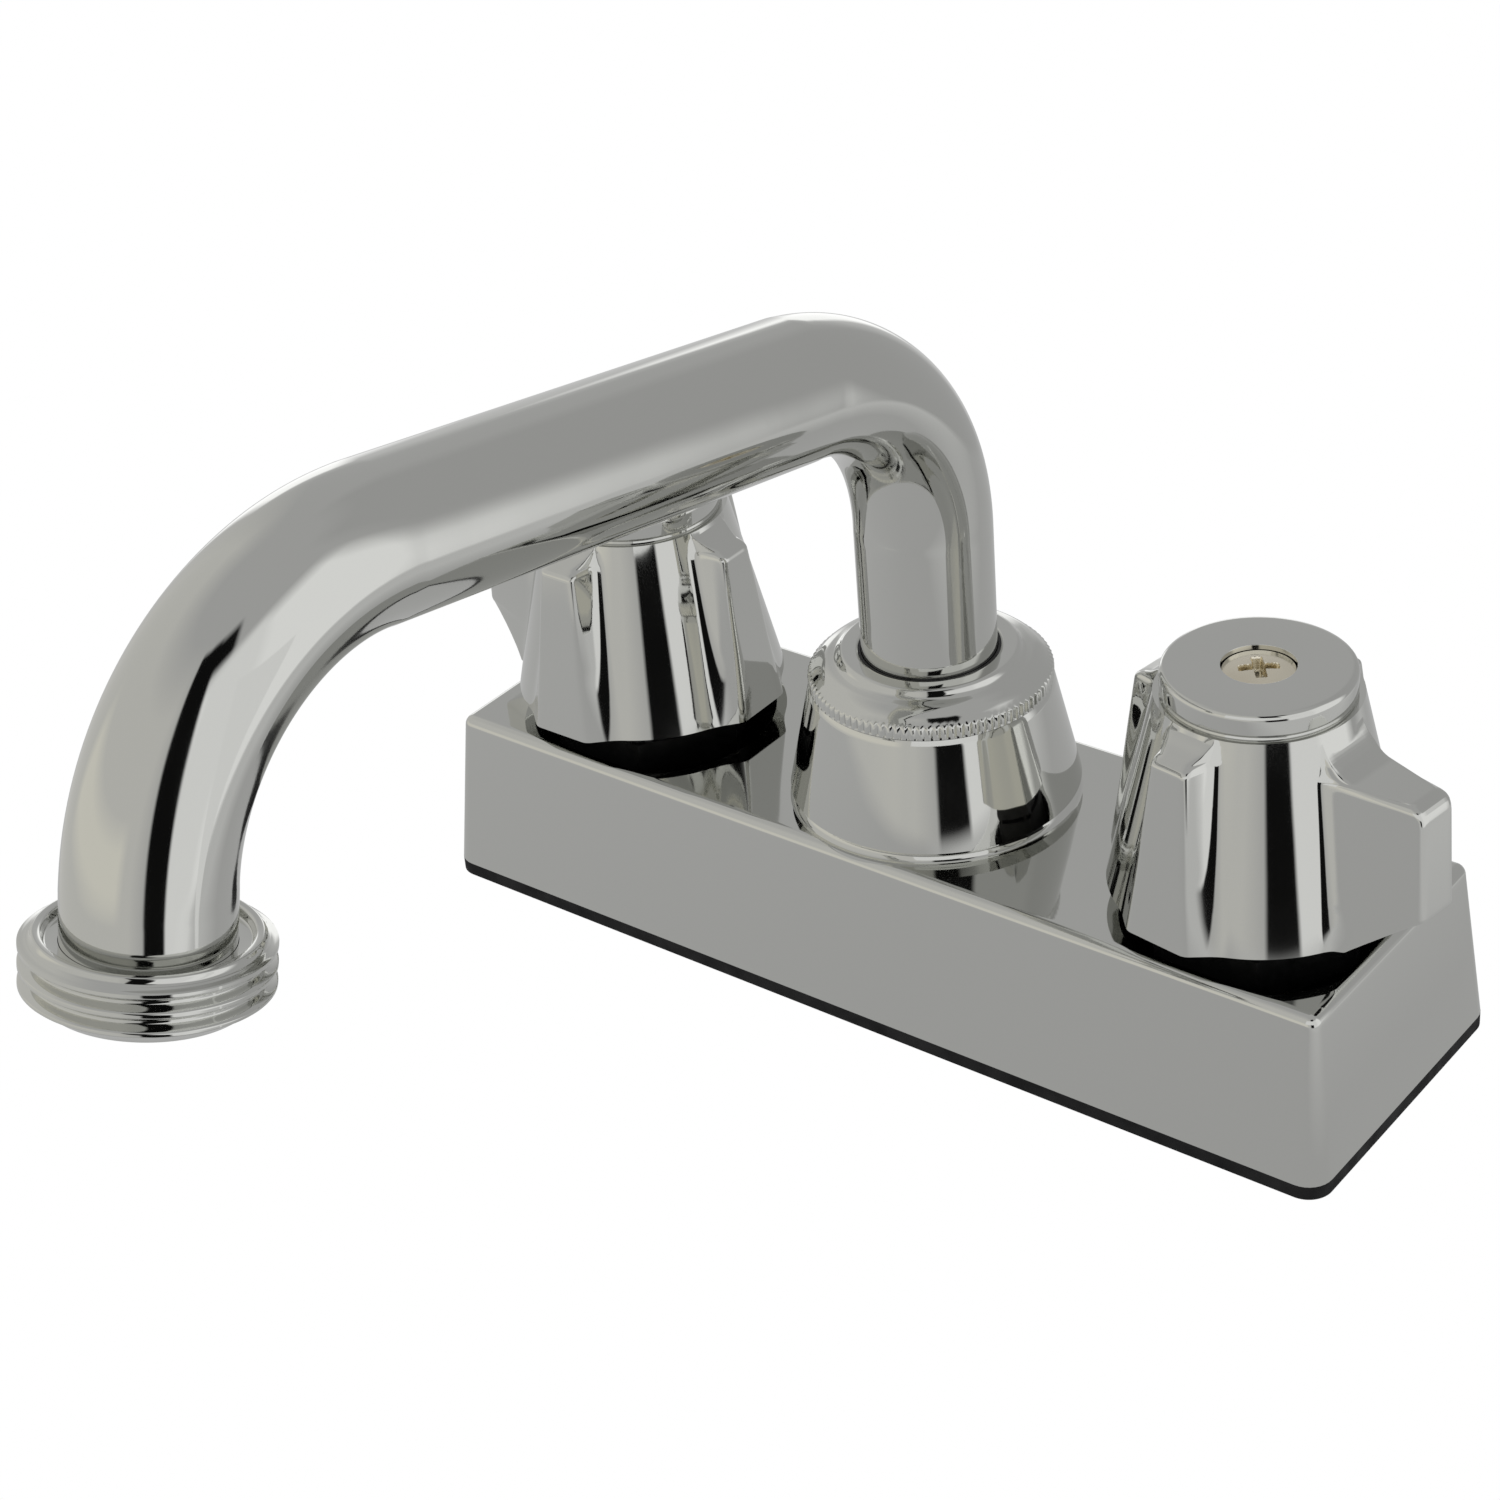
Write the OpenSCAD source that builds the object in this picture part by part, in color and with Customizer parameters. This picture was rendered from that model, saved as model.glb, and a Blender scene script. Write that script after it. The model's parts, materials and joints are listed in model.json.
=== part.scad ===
// Two-handle laundry-tub faucet on 4 in centres, with a swinging tube spout and a hose-thread outlet.
// The deck face is z = 0, the spout swings about the Z axis, the handles stand at +X (cold) and -X (hot),
// and the user stands at -Y.

/* [Body] */
// Distance between the two handle axes
centres = 101.6; // [96:0.2:108]
// Room from a handle's axis to the end of the body's foot
end_room = 22.7; // [21.6:0.1:30]
// Width of the body at its foot
body_w = 47.1; // [46:0.2:56]
// Height of the metal body above its gasket
body_h = 24.1; // [23:0.2:30]
// How far each end wall leans in over the height
end_lean = 2.5; // [0:0.05:4]
// How far the front and back walls lean in over the height
side_lean = 2.9; // [0:0.05:3.5]
// Radius of the body's upright corners at the foot
corner_r = 3.5; // [2.5:0.1:6]
// Radius of the rounded edge round the body's top
edge_r = 1.6; // [0.8:0.1:2.2]
// Wall thickness of the body casting
wall = 2.2; // [1.6:0.1:2.6]
// Thickness of the rubber gasket under the body
gasket_t = 2; // [1:0.1:4]

/* [Turret] */
// Diameter of the cone's top, under the spout nut
turret_d = 33.6; // [32.8:0.1:36]
// Height of the cone above the body's top
turret_h = 17.6; // [15:0.2:24]
// Radius of the hollow round the cone's foot
turret_fillet = 1.2; // [0.6:0.1:2]

/* [Spout] */
// Outer diameter of the spout tube
tube_d = 18.6; // [17.6:0.1:19.2]
// Wall thickness of the spout tube
tube_wall = 1.2; // [0.8:0.1:1.6]
// Height above the deck where the upright run of the tube ends
riser_top = 67.5; // [64:0.5:100]
// Centreline radius of the bend over the turret
bend_r = 30.2; // [24:0.2:40]
// Rise of the long arm, in degrees
arm_rise = 9.3; // [0:0.1:15]
// Straight length of the long arm
arm_l = 72; // [50:0.5:110]
// Centreline radius of the bend over the basin
nose_bend_r = 31.8; // [24:0.2:44]
// Steepness of the outlet below the horizontal, in degrees
drop_angle = 76.4; // [60:0.5:90]
// Straight tube between the last bend and the outlet ring
drop_l = 4.5; // [2:0.1:20]
// How far the spout stands turned from straight ahead, toward the hot side, in degrees
spout_rest = 2; // [-30:0.1:30]

/* [Outlet] */
// Outer diameter of the garden-hose thread
hose_d = 27; // [26:0.1:28]
// Pitch of the garden-hose thread
hose_pitch = 2.21; // [2:0.01:2.4]
// Depth of the hose thread's grooves
hose_thread_depth = 1.1; // [0.6:0.05:1.3]
// Number of thread crests on the outlet
hose_crests = 3; // [2:1:4]
// Width of the groove in the ring's top face, round the tube
ring_groove_w = 1.8; // [0.8:0.1:2]
// Depth of that groove
ring_groove_h = 1.2; // [0.4:0.1:2]
// How far the ring's top lip lies inside the thread crests
lip_in = 1.4; // [0.4:0.1:1.5]
// How far the ring's lower end tapers in
mouth_taper = 2.4; // [1.6:0.1:3]

/* [Spout nut and bearing] */
// Height of the nut's serrated rim
knurl_h = 2.2; // [1.6:0.1:3]
// Number of serrations round the rim
knurl_teeth = 96; // [60:4:120]
// Depth of a serration
knurl_depth = 0.35; // [0.2:0.05:0.6]
// Height of the nut's domed shoulder above its rim
shoulder_h = 2.1; // [1.5:0.1:4]
// Diameter of the low collar round the tube
collar_d = 25; // [24:0.1:27]
// Height of that collar
collar_h = 0.9; // [0.5:0.1:2]
// Length of the nut's threaded skirt inside the cone
nut_skirt = 5; // [3:0.1:8]
// Wall of the nut's threaded skirt
nut_wall = 1.3; // [1:0.05:1.45]
// Wall of the hub that the nut screws onto
hub_wall = 1.95; // [1.7:0.05:2.1]
// Wall of the nylon bearing round the tube
bushing_wall = 1.7; // [1.3:0.05:1.9]
// Running clearance of the tube in its bearing, on the radius
bearing_gap = 0.08; // [0.02:0.01:0.1]
// Thickness of the flange that carries the spout
flange_t = 3; // [2:0.1:4]
// Length of the sealed barrel below the flange
barrel_l = 9.5; // [8:0.1:10.5]
// Section diameter of the two seal rings on the barrel
spout_seal_d = 1.7; // [1.2:0.1:2]

/* [Handles] */
// Diameter of the flat top of a handle
cap_d = 25; // [23:0.2:27]
// Height of a handle's flat top above the deck
cap_z = 60.9; // [59:0.2:66]
// Height of the round band below the flat top
band_h = 3.6; // [2:0.1:5]
// Radius of the cap's rounded edge
cap_edge_r = 1; // [0.4:0.1:1.8]
// Diameter of the handle's round skirt at its rim
skirt_d = 39; // [38.4:0.1:41]
// Diameter of the handle's cone where it meets the band
neck_d = 26.6; // [25.4:0.1:28]
// Gap between the skirt's rim and the body's top
rim_gap = 3.3; // [2:0.1:5]
// Wall of the handle casting
handle_wall = 1.6; // [1.2:0.1:1.8]
// Reach of the lever lobe from the handle's axis
lever_reach = 28.1; // [24:0.1:34]
// How far the lever's end leans in over its height
lever_lean = 0.8; // [0.2:0.1:2]
// Width of the lever's end
lever_w = 6.4; // [5:0.1:9]
// How far the lever's underside climbs from the rim to its end
lever_lift = 6; // [2:0.1:7]
// How far the lever's end top lies below the cap
lever_tip_drop = 9.5; // [9.4:0.1:12]
// How far the lever's root top lies below the cap
lever_root_drop = 9; // [8.4:0.1:9.2]
// Reach of the three short ribs at the top
rib_reach_top = 18.1; // [16:0.1:20]
// Reach of the three short ribs at the rim
rib_reach_rim = 20.8; // [20.2:0.1:23]
// Width of a rib's flat face at the top
rib_w_top = 4.6; // [3:0.1:7]
// Width of a rib's flat face at the rim
rib_w_rim = 9.2; // [7:0.1:11]
// How far a rib's end top lies below the cap
rib_tip_drop = 6.5; // [6:0.1:7.2]
// Direction of the cold lever at rest, in degrees from +X
cold_rest = -8; // [-20:1:20]
// Direction of the hot lever at rest, in degrees from +X
hot_rest = 180; // [165:1:195]

/* [Handle screw and stem] */
// Diameter of the screw's head
screw_head_d = 9.8; // [8:0.1:11]
// Thickness of the screw's head
screw_head_t = 2.2; // [1.6:0.1:3]
// How far the head lies below the cap
screw_sink = 0.7; // [0:0.1:1.2]
// Diameter of the screw's shank
screw_d = 4; // [3.5:0.1:4.6]
// Length of the screw's shank
screw_l = 13; // [10:0.5:16]
// Width of the stem's square end
square_w = 6.2; // [6:0.1:6.8]
// Length of the stem's square end
square_l = 13; // [10:0.5:14]
// Diameter of the round stem
stem_d = 8.2; // [7.6:0.1:9]
// Section diameter of the stem's seal ring
stem_seal_d = 1; // [0.8:0.1:1.2]

/* [Cartridges] */
// Outer diameter of a cartridge barrel
cart_d = 17.8; // [17.4:0.1:18.2]
// Wall of a cartridge barrel
cart_wall = 1.2; // [1:0.05:1.4]
// Thickness of a ceramic disc
disc_t = 3; // [2:0.1:3.4]
// Thickness of the rubber seat seal
seat_t = 2.6; // [2:0.1:3]
// Thickness of the stem's driver
driver_t = 2.6; // [2:0.1:3]
// Thickness of a cartridge's flange
cart_flange_t = 2; // [1.5:0.1:3]
// Diameter of a cartridge's neck
cart_neck_d = 13.2; // [12.4:0.1:14]
// Height of a cartridge's neck above its flange
cart_neck_h = 7; // [5:0.1:8]
// Width across flats of a bonnet nut
bonnet_af = 26.4; // [26:0.1:27]
// Thickness of a bonnet nut's top lip
bonnet_lip = 1.8; // [1:0.1:2.5]

/* [Waterway and shanks] */
// Wall of the necks that stand up through the body's top
neck_wall = 2; // [1.8:0.05:2.1]
// Height of those necks above the body's top
neck_h = 3; // [2.4:0.1:4]
// Thickness of the solid floor between shank socket and cartridge
floor_t = 2; // [1.5:0.1:3]
// Bore of the cross passage
passage_d = 7.6; // [6:0.1:8.4]
// Wall round the cross passage
passage_wall = 2.2; // [1.8:0.1:2.6]
// Outer diameter of the threaded inlet shanks, 1/2 in pipe thread
shank_d = 21.3; // [20.8:0.1:21.8]
// Bore of the inlet shanks
shank_bore = 12; // [10:0.1:15]
// Length of a shank below the deck face
shank_l = 40; // [30:1:60]
// Depth of the shank's socket in the waterway
socket_l = 7; // [6:0.1:8]
// Wall round the shank's socket
socket_wall = 2.6; // [2:0.1:2.8]
// Width across flats of a mounting nut
locknut_af = 30; // [28:0.5:34]
// Height of a mounting nut's hexagon
locknut_h = 7; // [5:0.5:12]
// Diameter of the washer face on a mounting nut
locknut_flange_d = 38; // [34:0.5:46]
// Space that the mounting nuts leave for the deck
deck_space = 12; // [6:1:16]
// How deep the threads of shank and mounting nut bite into each other, on the radius
thread_bite = 0.35; // [0.1:0.05:0.6]

/* [Hidden] */
$fn = 96;
// Clearance between pieces that a thread or a seat holds together
fit = 0.05;
// Clearance round pieces that turn past fixed ones
turn_gap = 0.2;
// Overlap that keeps a cut or a union clean
eps = 0.01;

hand_x = centres / 2;
body_l = centres + 2 * end_room;
top_z = gasket_t + body_h;
top_l = body_l - 2 * end_lean;
top_w = body_w - 2 * side_lean;
ceiling_z = top_z - wall;
turret_top = top_z + turret_h;
foot_r = top_w / 2;
knurl_top = turret_top + knurl_h;
shoulder_z = knurl_top + shoulder_h;
nut_top = shoulder_z + collar_h;

// Spout bearing, from the tube outward
tube_r = tube_d / 2;
tube_in = tube_r - tube_wall;
bushing_in = tube_r + bearing_gap;
bushing_out = bushing_in + bushing_wall;
hub_bore = bushing_out + fit;
hub_r = hub_bore + hub_wall;
nut_bore = hub_r + fit;
hub_rise = 1.4;
hub_top = turret_top + hub_rise;
bushing_rim = 1;
lip_wall = 0.75;
bushing_lip = bushing_in + lip_wall;
flange_r = hub_bore - turn_gap;
barrel_r = tube_r;
barrel_bore = barrel_r + turn_gap;
sleeve_wall = 1.8;
sleeve_bore = tube_in - sleeve_wall;
spigot_l = 8;

// Waterway heights
floor_z = gasket_t + socket_l + floor_t;
passage_z = floor_z + passage_d / 2 + turn_gap;
neck_top = top_z + neck_h;
barrel_room = 1.6;
barrel_z = passage_z + passage_d / 2 + barrel_room;
ledge_z = barrel_z + barrel_l;
flange_z = ledge_z + turn_gap;
tube_z = flange_z + flange_t;
socket_r = shank_d / 2 + fit;
chamber_r = socket_r + socket_wall;
cart_r = cart_d / 2;
neck_bore = cart_r + fit;
neck_r = neck_bore + neck_wall;
chamber_wall = 3;
water_r = chamber_r - chamber_wall;
bite_r = shank_d / 2 - thread_bite;
locknut_flange_t = 2;
locknut_top = -deck_space;
locknut_z = locknut_top - locknut_flange_t - locknut_h;

// Cartridge heights
disc_r = cart_r - cart_wall - fit;
cart_foot = 1;
cart_z = floor_z + cart_foot;
disc_z = floor_z + seat_t;
turning_z = disc_z + disc_t + fit;
driver_z = turning_z + disc_t;
driver_top = driver_z + driver_t;
cart_flange_r = neck_r - fit;
port_r = disc_r * 0.27;
tang_w = 2.8;
tang_t = 1.8;
tang_y = 5;
tang_l = 1.2;
cart_top = neck_top + cart_flange_t + cart_neck_h;
stem_r = stem_d / 2;
stem_gap = 0.1;
stem_bore = stem_r + stem_gap;
stem_groove = stem_bore - stem_seal_d - fit;
bonnet_bore = neck_r + fit;

// Handle levels and profiles
cap_r = cap_d / 2;
band_z = cap_z - band_h;
rim_z = top_z + rim_gap;
skirt_r = skirt_d / 2;
head_z = cap_z - screw_sink - screw_head_t;
head_r = screw_head_d / 2;
hole_r = screw_d / 2 + turn_gap;
roof_t = 3;
square_top = head_z - roof_t;
square_z = square_top - square_l;
boss_z = square_z + 1;
boss_wall = 2.4;
boss_r = stem_r + boss_wall;
cavity_top = head_z - roof_t;
lever_top = cap_z - lever_tip_drop;
lever_root = cap_z - lever_root_drop;
rib_top = cap_z - rib_tip_drop;

// Radius of the handle's cone at height z
function cone_r(z) = mix(skirt_r, neck_d / 2, height_share(z));

// The lever's rounded end: how far its stations lie below the top and back from the end face
nose_drops = [2.6, 1.2, 0.3];
nose_backs = [0, 0.4, 1.4, 2.5];
// The hollow that joins the lever's top to the cone: heights above the root and distances off the cone
root_rises = [0, 0.8, 2.2];
root_outs = [2.2, 0.8];
root_sink = 0.3;
// Depth below the cone at which a lobe's outline ends under the band
lobe_sink = 1;
// The rib's rounded top in the same way
rib_steps = [1, 0.9, 1.7];
rib_edge = 0.5;
rib_outs = [0, 1.4, 0.3];

// Reach of the lever over its height: [height, distance from the axis]
lever_profile = [
    [rim_z, skirt_r],
    [rim_z + lever_lift, lever_reach],
    [lever_top - nose_drops[0], lever_reach - lever_lean],
    [lever_top - nose_drops[1], lever_reach - lever_lean - nose_backs[1]],
    [lever_top - nose_drops[2], lever_reach - lever_lean - nose_backs[2]],
    [lever_top, lever_reach - lever_lean - nose_backs[3]],
    [lever_root, cone_r(lever_root) + root_outs[0]],
    [lever_root + root_rises[1], cone_r(lever_root) + root_outs[1]],
    [lever_root + root_rises[2], cone_r(lever_root) - root_sink],
    [band_z, neck_d / 2 - lobe_sink]];

// Reach of a rib over its height
rib_profile = [
    [rim_z, rib_reach_rim],
    [rib_top - rib_steps[0], rib_reach_top],
    [rib_top, rib_reach_top - rib_edge],
    [rib_top + rib_steps[1], cone_r(rib_top) + rib_outs[1]],
    [rib_top + rib_steps[2], cone_r(rib_top) + rib_outs[2]],
    [band_z, neck_d / 2 - lobe_sink]];

function reach(profile, z) = lookup(z, profile);
function mix(a, b, t) = a + (b - a) * t;
function height_share(z) = (z - rim_z) / (band_z - rim_z);

// Pushes a point out to the cone where a lobe lies inside it
function outside_cone(p, r) = norm(p) < r ? p * r / norm(p) : p;

// Half outline of one lobe about its own x axis, from the middle of its end face to its root.
// x_end is the end face, x_full and w_full the reach and half width of the whole lobe,
// root the half angle that the root takes of the cone
function half_lobe(x_end, x_full, w_full, root, r) =
    let (
        foot = r * [cos(root), sin(root)],
        x = max(x_end, foot.x),
        slope = (foot.y - w_full) / max(x_full - foot.x, 0.5),
        corner = [x, min(w_full + max(x_full - x, 0) * slope, foot.y - corner_gap)],
        side = foot - corner,
        unit = side / max(norm(side), 0.2),
        round_end = min(0.6, norm(side) / 4),
        before = corner - [0, round_end],
        after = corner + unit * round_end,
        fillet = min(1.6, norm(side) / 3),
        rise = foot - unit * fillet,
        run = r * [cos(root + 5), sin(root + 5)])
    [[x, 0], before, (before + after) / 4 + corner / 2, after, (after + rise) / 2, rise,
        (rise + run) / 4 + foot / 2, run];

// One lobe and the arc of cone that follows it, turned to its place
function lobe(profile, w_rim, w_top, root_rim, root_top, turn, z) =
    let (
        t = height_share(z),
        r = cone_r(z),
        x = reach(profile, z),
        x_full = max(x, reach(profile, rim_z + lever_lift) + (r - skirt_r) * 0.2),
        w = mix(w_rim, w_top, t) / 2,
        root = mix(root_rim, root_top, t),
        half = half_lobe(x, x_full, w, root, r),
        left = [for (i = [len(half) - 1 : -1 : 1]) [half[i].x, -half[i].y]],
        arc = [for (i = [1 : arc_steps]) r * [
            cos(root + 5 + (90 - 2 * (root + 5)) * i / (arc_steps + 1)),
            sin(root + 5 + (90 - 2 * (root + 5)) * i / (arc_steps + 1))]])
    [for (p = concat(left, half, arc)) let (q = outside_cone(p, r))
        [q.x * cos(turn) - q.y * sin(turn), q.x * sin(turn) + q.y * cos(turn), z]];

// Points on the cone between two lobes
arc_steps = 5;
// Least width that a side face keeps beside its end face
corner_gap = 0.25;
lever_root_rim = 24.5;
lever_root_top = 18;
rib_root_rim = 24;
rib_root_top = 15;

// The handle's outline at height z: the lever on +X and three ribs
function handle_ring(z) = concat(
    lobe(lever_profile, lever_w, lever_w, lever_root_rim, lever_root_top, 0, z),
    lobe(rib_profile, rib_w_rim, rib_w_top, rib_root_rim, rib_root_top, 90, z),
    lobe(rib_profile, rib_w_rim, rib_w_top, rib_root_rim, rib_root_top, 180, z),
    lobe(rib_profile, rib_w_rim, rib_w_top, rib_root_rim, rib_root_top, 270, z));

lower_levels = [rim_z, rim_z + 0.35 * lever_lift, rim_z + 0.7 * lever_lift, rim_z + lever_lift];
middle_levels = [for (i = [1 : 3]) mix(rim_z + lever_lift, lever_top - nose_drops[0], i / 4)];
upper_levels = [for (d = nose_drops) lever_top - d];
root_levels = [lever_top, mix(lever_top, lever_root, 0.5), lever_root];
rib_levels = [rib_top - rib_steps[0], rib_top, rib_top + rib_steps[1] / 2, rib_top + rib_steps[1],
    rib_top + rib_steps[2], band_z];
handle_levels = concat(lower_levels, middle_levels, upper_levels, root_levels, rib_levels);

// Skin stretched over a stack of outlines that all have the same number of points
module loft(rings) {
    n = len(rings[0]);
    points = [for (ring = rings) each ring];
    sides = [for (k = [0 : len(rings) - 2], i = [0 : n - 1])
        let (j = (i + 1) % n)
        each [[k * n + i, (k + 1) * n + i, k * n + j], [k * n + j, (k + 1) * n + i, (k + 1) * n + j]]];
    bottom = [for (i = [0 : n - 1]) i];
    top = [for (i = [n - 1 : -1 : 0]) (len(rings) - 1) * n + i];
    polyhedron(points, concat([bottom], sides, [top]));
}

// A round ring or tube between two heights
module tube(r_out, r_in, z0, z1) {
    translate([0, 0, z0]) difference() {
        cylinder(r = r_out, h = z1 - z0);
        translate([0, 0, -1]) cylinder(r = r_in, h = z1 - z0 + 2);
    }
}

module at_z(z) { translate([0, 0, z]) children(); }

module on_side(side) { translate([side * hand_x, 0, 0]) children(); }

// A rubber ring of round section
module seal_ring(r_mid, d, z) {
    at_z(z) rotate_extrude() translate([r_mid, 0]) circle(d = d, $fn = 24);
}

// Block with leaning walls and rounded corners and top edges, drawn in by inset all round
module tapered_block(inset, z0, z1, r_top) {
    hull() {
        for (x = [-1, 1], y = [-1, 1]) {
            translate([x * (body_l / 2 - inset - corner_r), y * (body_w / 2 - inset - corner_r), z0])
                cylinder(r = corner_r, h = eps, $fn = 28);
            translate([x * (top_l / 2 - inset - r_top), y * (top_w / 2 - inset - r_top), z1 - r_top])
                sphere(r = r_top, $fn = 28);
        }
    }
}

// Die-cast body: a leaning box, the cone that carries the spout nut, and its hollow inside
module body_shell() color([0.78, 0.79, 0.78]) {
    difference() {
        union() {
            tapered_block(0, gasket_t, top_z, edge_r);
            turret_skin();
        }
        tapered_block(wall, gasket_t - 1, ceiling_z, edge_r);
        turret_hollow();
        for (side = [-1, 1]) on_side(side) at_z(ceiling_z - 1) cylinder(r = neck_r + fit, h = wall + 3);
    }
}

// Outside of the cone, with a small hollow round its foot
module turret_skin() {
    lean = (foot_r - turret_d / 2) / turret_h;
    f = turret_fillet;
    rotate_extrude() polygon(concat(
        [[0, top_z - wall], [foot_r - f, top_z - wall], [foot_r - f, top_z]],
        [for (a = [0 : 15 : 75]) [foot_r - f * lean - f + f * (1 - sin(a)), top_z + f * (1 - cos(a))]],
        [[foot_r - f * lean - f, top_z + f], [turret_d / 2, turret_top], [0, turret_top]]));
}

module turret_hollow() {
    inner_top = nut_bore + nut_wall + fit;
    inner_foot = max(inner_top, foot_r - turret_fillet - wall);
    rotate_extrude() polygon([[0, ceiling_z - 1], [inner_foot, ceiling_z - 1], [inner_foot, ceiling_z],
        [inner_top, turret_top - nut_skirt], [inner_top, turret_top + 1], [0, turret_top + 1]]);
}

// Rubber gasket cut to the body's foot, open only where the shanks pass
module base_gasket() color([0.06, 0.06, 0.06]) {
    difference() {
        linear_extrude(gasket_t) offset(r = corner_r)
            square([body_l - 2 * corner_r, body_w - 2 * corner_r], center = true);
        for (side = [-1, 1]) on_side(side) at_z(-1) cylinder(r = shank_d / 2 + 0.5, h = gasket_t + 2);
    }
}

// Brass waterway: two valve chambers, the hub of the spout and the passage between them
module valve_manifold() color([0.72, 0.58, 0.30]) {
    difference() {
        union() {
            for (side = [-1, 1]) on_side(side) {
                at_z(gasket_t) cylinder(r = chamber_r, h = ceiling_z - gasket_t);
                at_z(gasket_t) cylinder(r = neck_r, h = neck_top - gasket_t);
            }
            at_z(passage_z - passage_d / 2 - passage_wall)
                cylinder(r = hub_r, h = hub_top - passage_z + passage_d / 2 + passage_wall);
            translate([-hand_x, 0, passage_z]) rotate([0, 90, 0])
                cylinder(r = passage_d / 2 + passage_wall, h = 2 * hand_x);
        }
        for (side = [-1, 1]) on_side(side) {
            at_z(gasket_t - 1) cylinder(r = socket_r, h = socket_l + 1);
            at_z(gasket_t) cylinder(r = disc_r * 0.6, h = ceiling_z);
            at_z(floor_z) cylinder(r = water_r, h = barrel_z - floor_z);
            at_z(floor_z) cylinder(r = neck_bore, h = neck_top - floor_z + 1);
        }
        translate([-hand_x, 0, passage_z]) rotate([0, 90, 0]) cylinder(d = passage_d, h = 2 * hand_x);
        at_z(passage_z - passage_d / 2) cylinder(r = barrel_bore, h = hub_top);
        at_z(ledge_z) cylinder(r = hub_bore, h = hub_top);
    }
}

// Spout nut: threaded skirt inside the cone, serrated rim, domed shoulder and low collar
module spout_nut() color([0.80, 0.81, 0.80]) {
    rim_r = turret_d / 2;
    difference() {
        union() {
            at_z(turret_top - nut_skirt) cylinder(r = nut_bore + nut_wall, h = nut_skirt + eps);
            at_z(turret_top) linear_extrude(knurl_h - 0.3) serrated_disc(rim_r, knurl_teeth, knurl_depth);
            rotate_extrude() polygon(concat(
                [[0, knurl_top - 0.4], [rim_r - knurl_depth, knurl_top - 0.4]],
                [for (i = [0 : 6]) let (t = i / 6)
                    [mix(rim_r - knurl_depth - 0.3, collar_d / 2, t),
                        knurl_top + shoulder_h * sin(90 * t)]],
                [[collar_d / 2 - 0.1, nut_top - 0.5], [collar_d / 2 - 0.7, nut_top],
                    [0, nut_top]]));
        }
        at_z(turret_top - nut_skirt - 1)
            cylinder(r = nut_bore, h = hub_top + bushing_rim - turret_top + nut_skirt + 1);
        at_z(turret_top) cylinder(r = bushing_lip + fit, h = nut_top);
        at_z(nut_top - 0.6) cylinder(r1 = bushing_lip + fit, r2 = bushing_lip + 0.9, h = 0.6 + eps);
    }
}

// Flat disc with a row of pointed serrations
module serrated_disc(r, teeth, depth) {
    polygon([for (i = [0 : 2 * teeth - 1]) let (a = 180 * i / teeth, q = r - (i % 2) * depth)
        q * [cos(a), sin(a)]]);
}

// Nylon bearing between hub and tube; its edge shows as a thin dark line round the tube
module spout_bushing() color([0.10, 0.10, 0.10]) {
    tube(bushing_out, bushing_in, tube_z + 0.3, hub_top + eps);
    tube(nut_bore - fit, bushing_in, hub_top, hub_top + bushing_rim);
    tube(bushing_lip, bushing_in, hub_top + bushing_rim - eps, nut_top - 0.2);
}

// Frame of the spout: x runs outward along the arm
module spout_frame() { rotate([0, 0, -90 - spout_rest]) children(); }

turn_1 = 90 - arm_rise;
tuck = 0.4;
swell = 0.02;
lip_back = 0.8;
arm_start = [bend_r * (1 - cos(turn_1)), riser_top + bend_r * sin(turn_1)];
arm_end = arm_start + arm_l * [cos(arm_rise), sin(arm_rise)];
turn_2 = arm_rise + drop_angle;
nose_centre = arm_end + nose_bend_r * [sin(arm_rise), -cos(arm_rise)];
nose_end = nose_centre + nose_bend_r * [sin(drop_angle), cos(drop_angle)];
drop_dir = [cos(drop_angle), -sin(drop_angle)];
ring_h = (hose_crests - 1) * hose_pitch + 3.4;
outlet_l = drop_l + ring_h;

module straight_run(start, tilt, length, r) {
    translate([start.x, 0, start.y]) rotate([0, tilt, 0]) cylinder(r = r, h = length);
}

module bend(centre, radius, from_angle, turn, r) {
    translate([centre.x, 0, centre.y]) rotate([90, 0, 0]) rotate([0, 0, from_angle])
        rotate_extrude(angle = turn) translate([radius, 0]) circle(r = r);
}

// The spout's whole run as a solid of radius r, carried on past its two ends by extra
module spout_run(r, extra) {
    straight_run([0, tube_z - extra], 0, riser_top - tube_z + extra + tuck, r);
    bend([bend_r, riser_top], bend_r, 90 + arm_rise, turn_1, r + swell);
    straight_run(arm_start - tuck * [cos(arm_rise), sin(arm_rise)], 90 - arm_rise, arm_l + 2 * tuck, r);
    bend(nose_centre, nose_bend_r, 90 - drop_angle, turn_2, r + swell);
    straight_run(nose_end - tuck * drop_dir, 90 + drop_angle, outlet_l - lip_back + extra + tuck, r);
}

// Bent brass tube: riser, bend, rising arm, bend and outlet
module spout_tube() color([0.80, 0.81, 0.80]) spout_frame() {
    difference() {
        spout_run(tube_r, 0);
        spout_run(tube_in, 1);
    }
}

// Turned sleeve brazed into the tube: the flange carries the spout, the barrel below it holds the seals
module spout_sleeve() color([0.72, 0.58, 0.30]) {
    groove_r = barrel_bore - spout_seal_d - fit;
    groove_h = 1.3 * spout_seal_d;
    difference() {
        union() {
            at_z(barrel_z) cylinder(r = barrel_r, h = barrel_l + turn_gap + eps);
            at_z(flange_z) cylinder(r = flange_r, h = flange_t);
            at_z(tube_z - eps) cylinder(r = tube_in - fit, h = spigot_l);
        }
        at_z(barrel_z - 1) cylinder(r = sleeve_bore, h = barrel_l + flange_t + spigot_l + 3);
        for (z = seal_heights) tube(barrel_r + 1, groove_r, z - groove_h / 2, z + groove_h / 2);
    }
}

seal_heights = [barrel_z + barrel_l * 0.3, barrel_z + barrel_l * 0.7];

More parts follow.
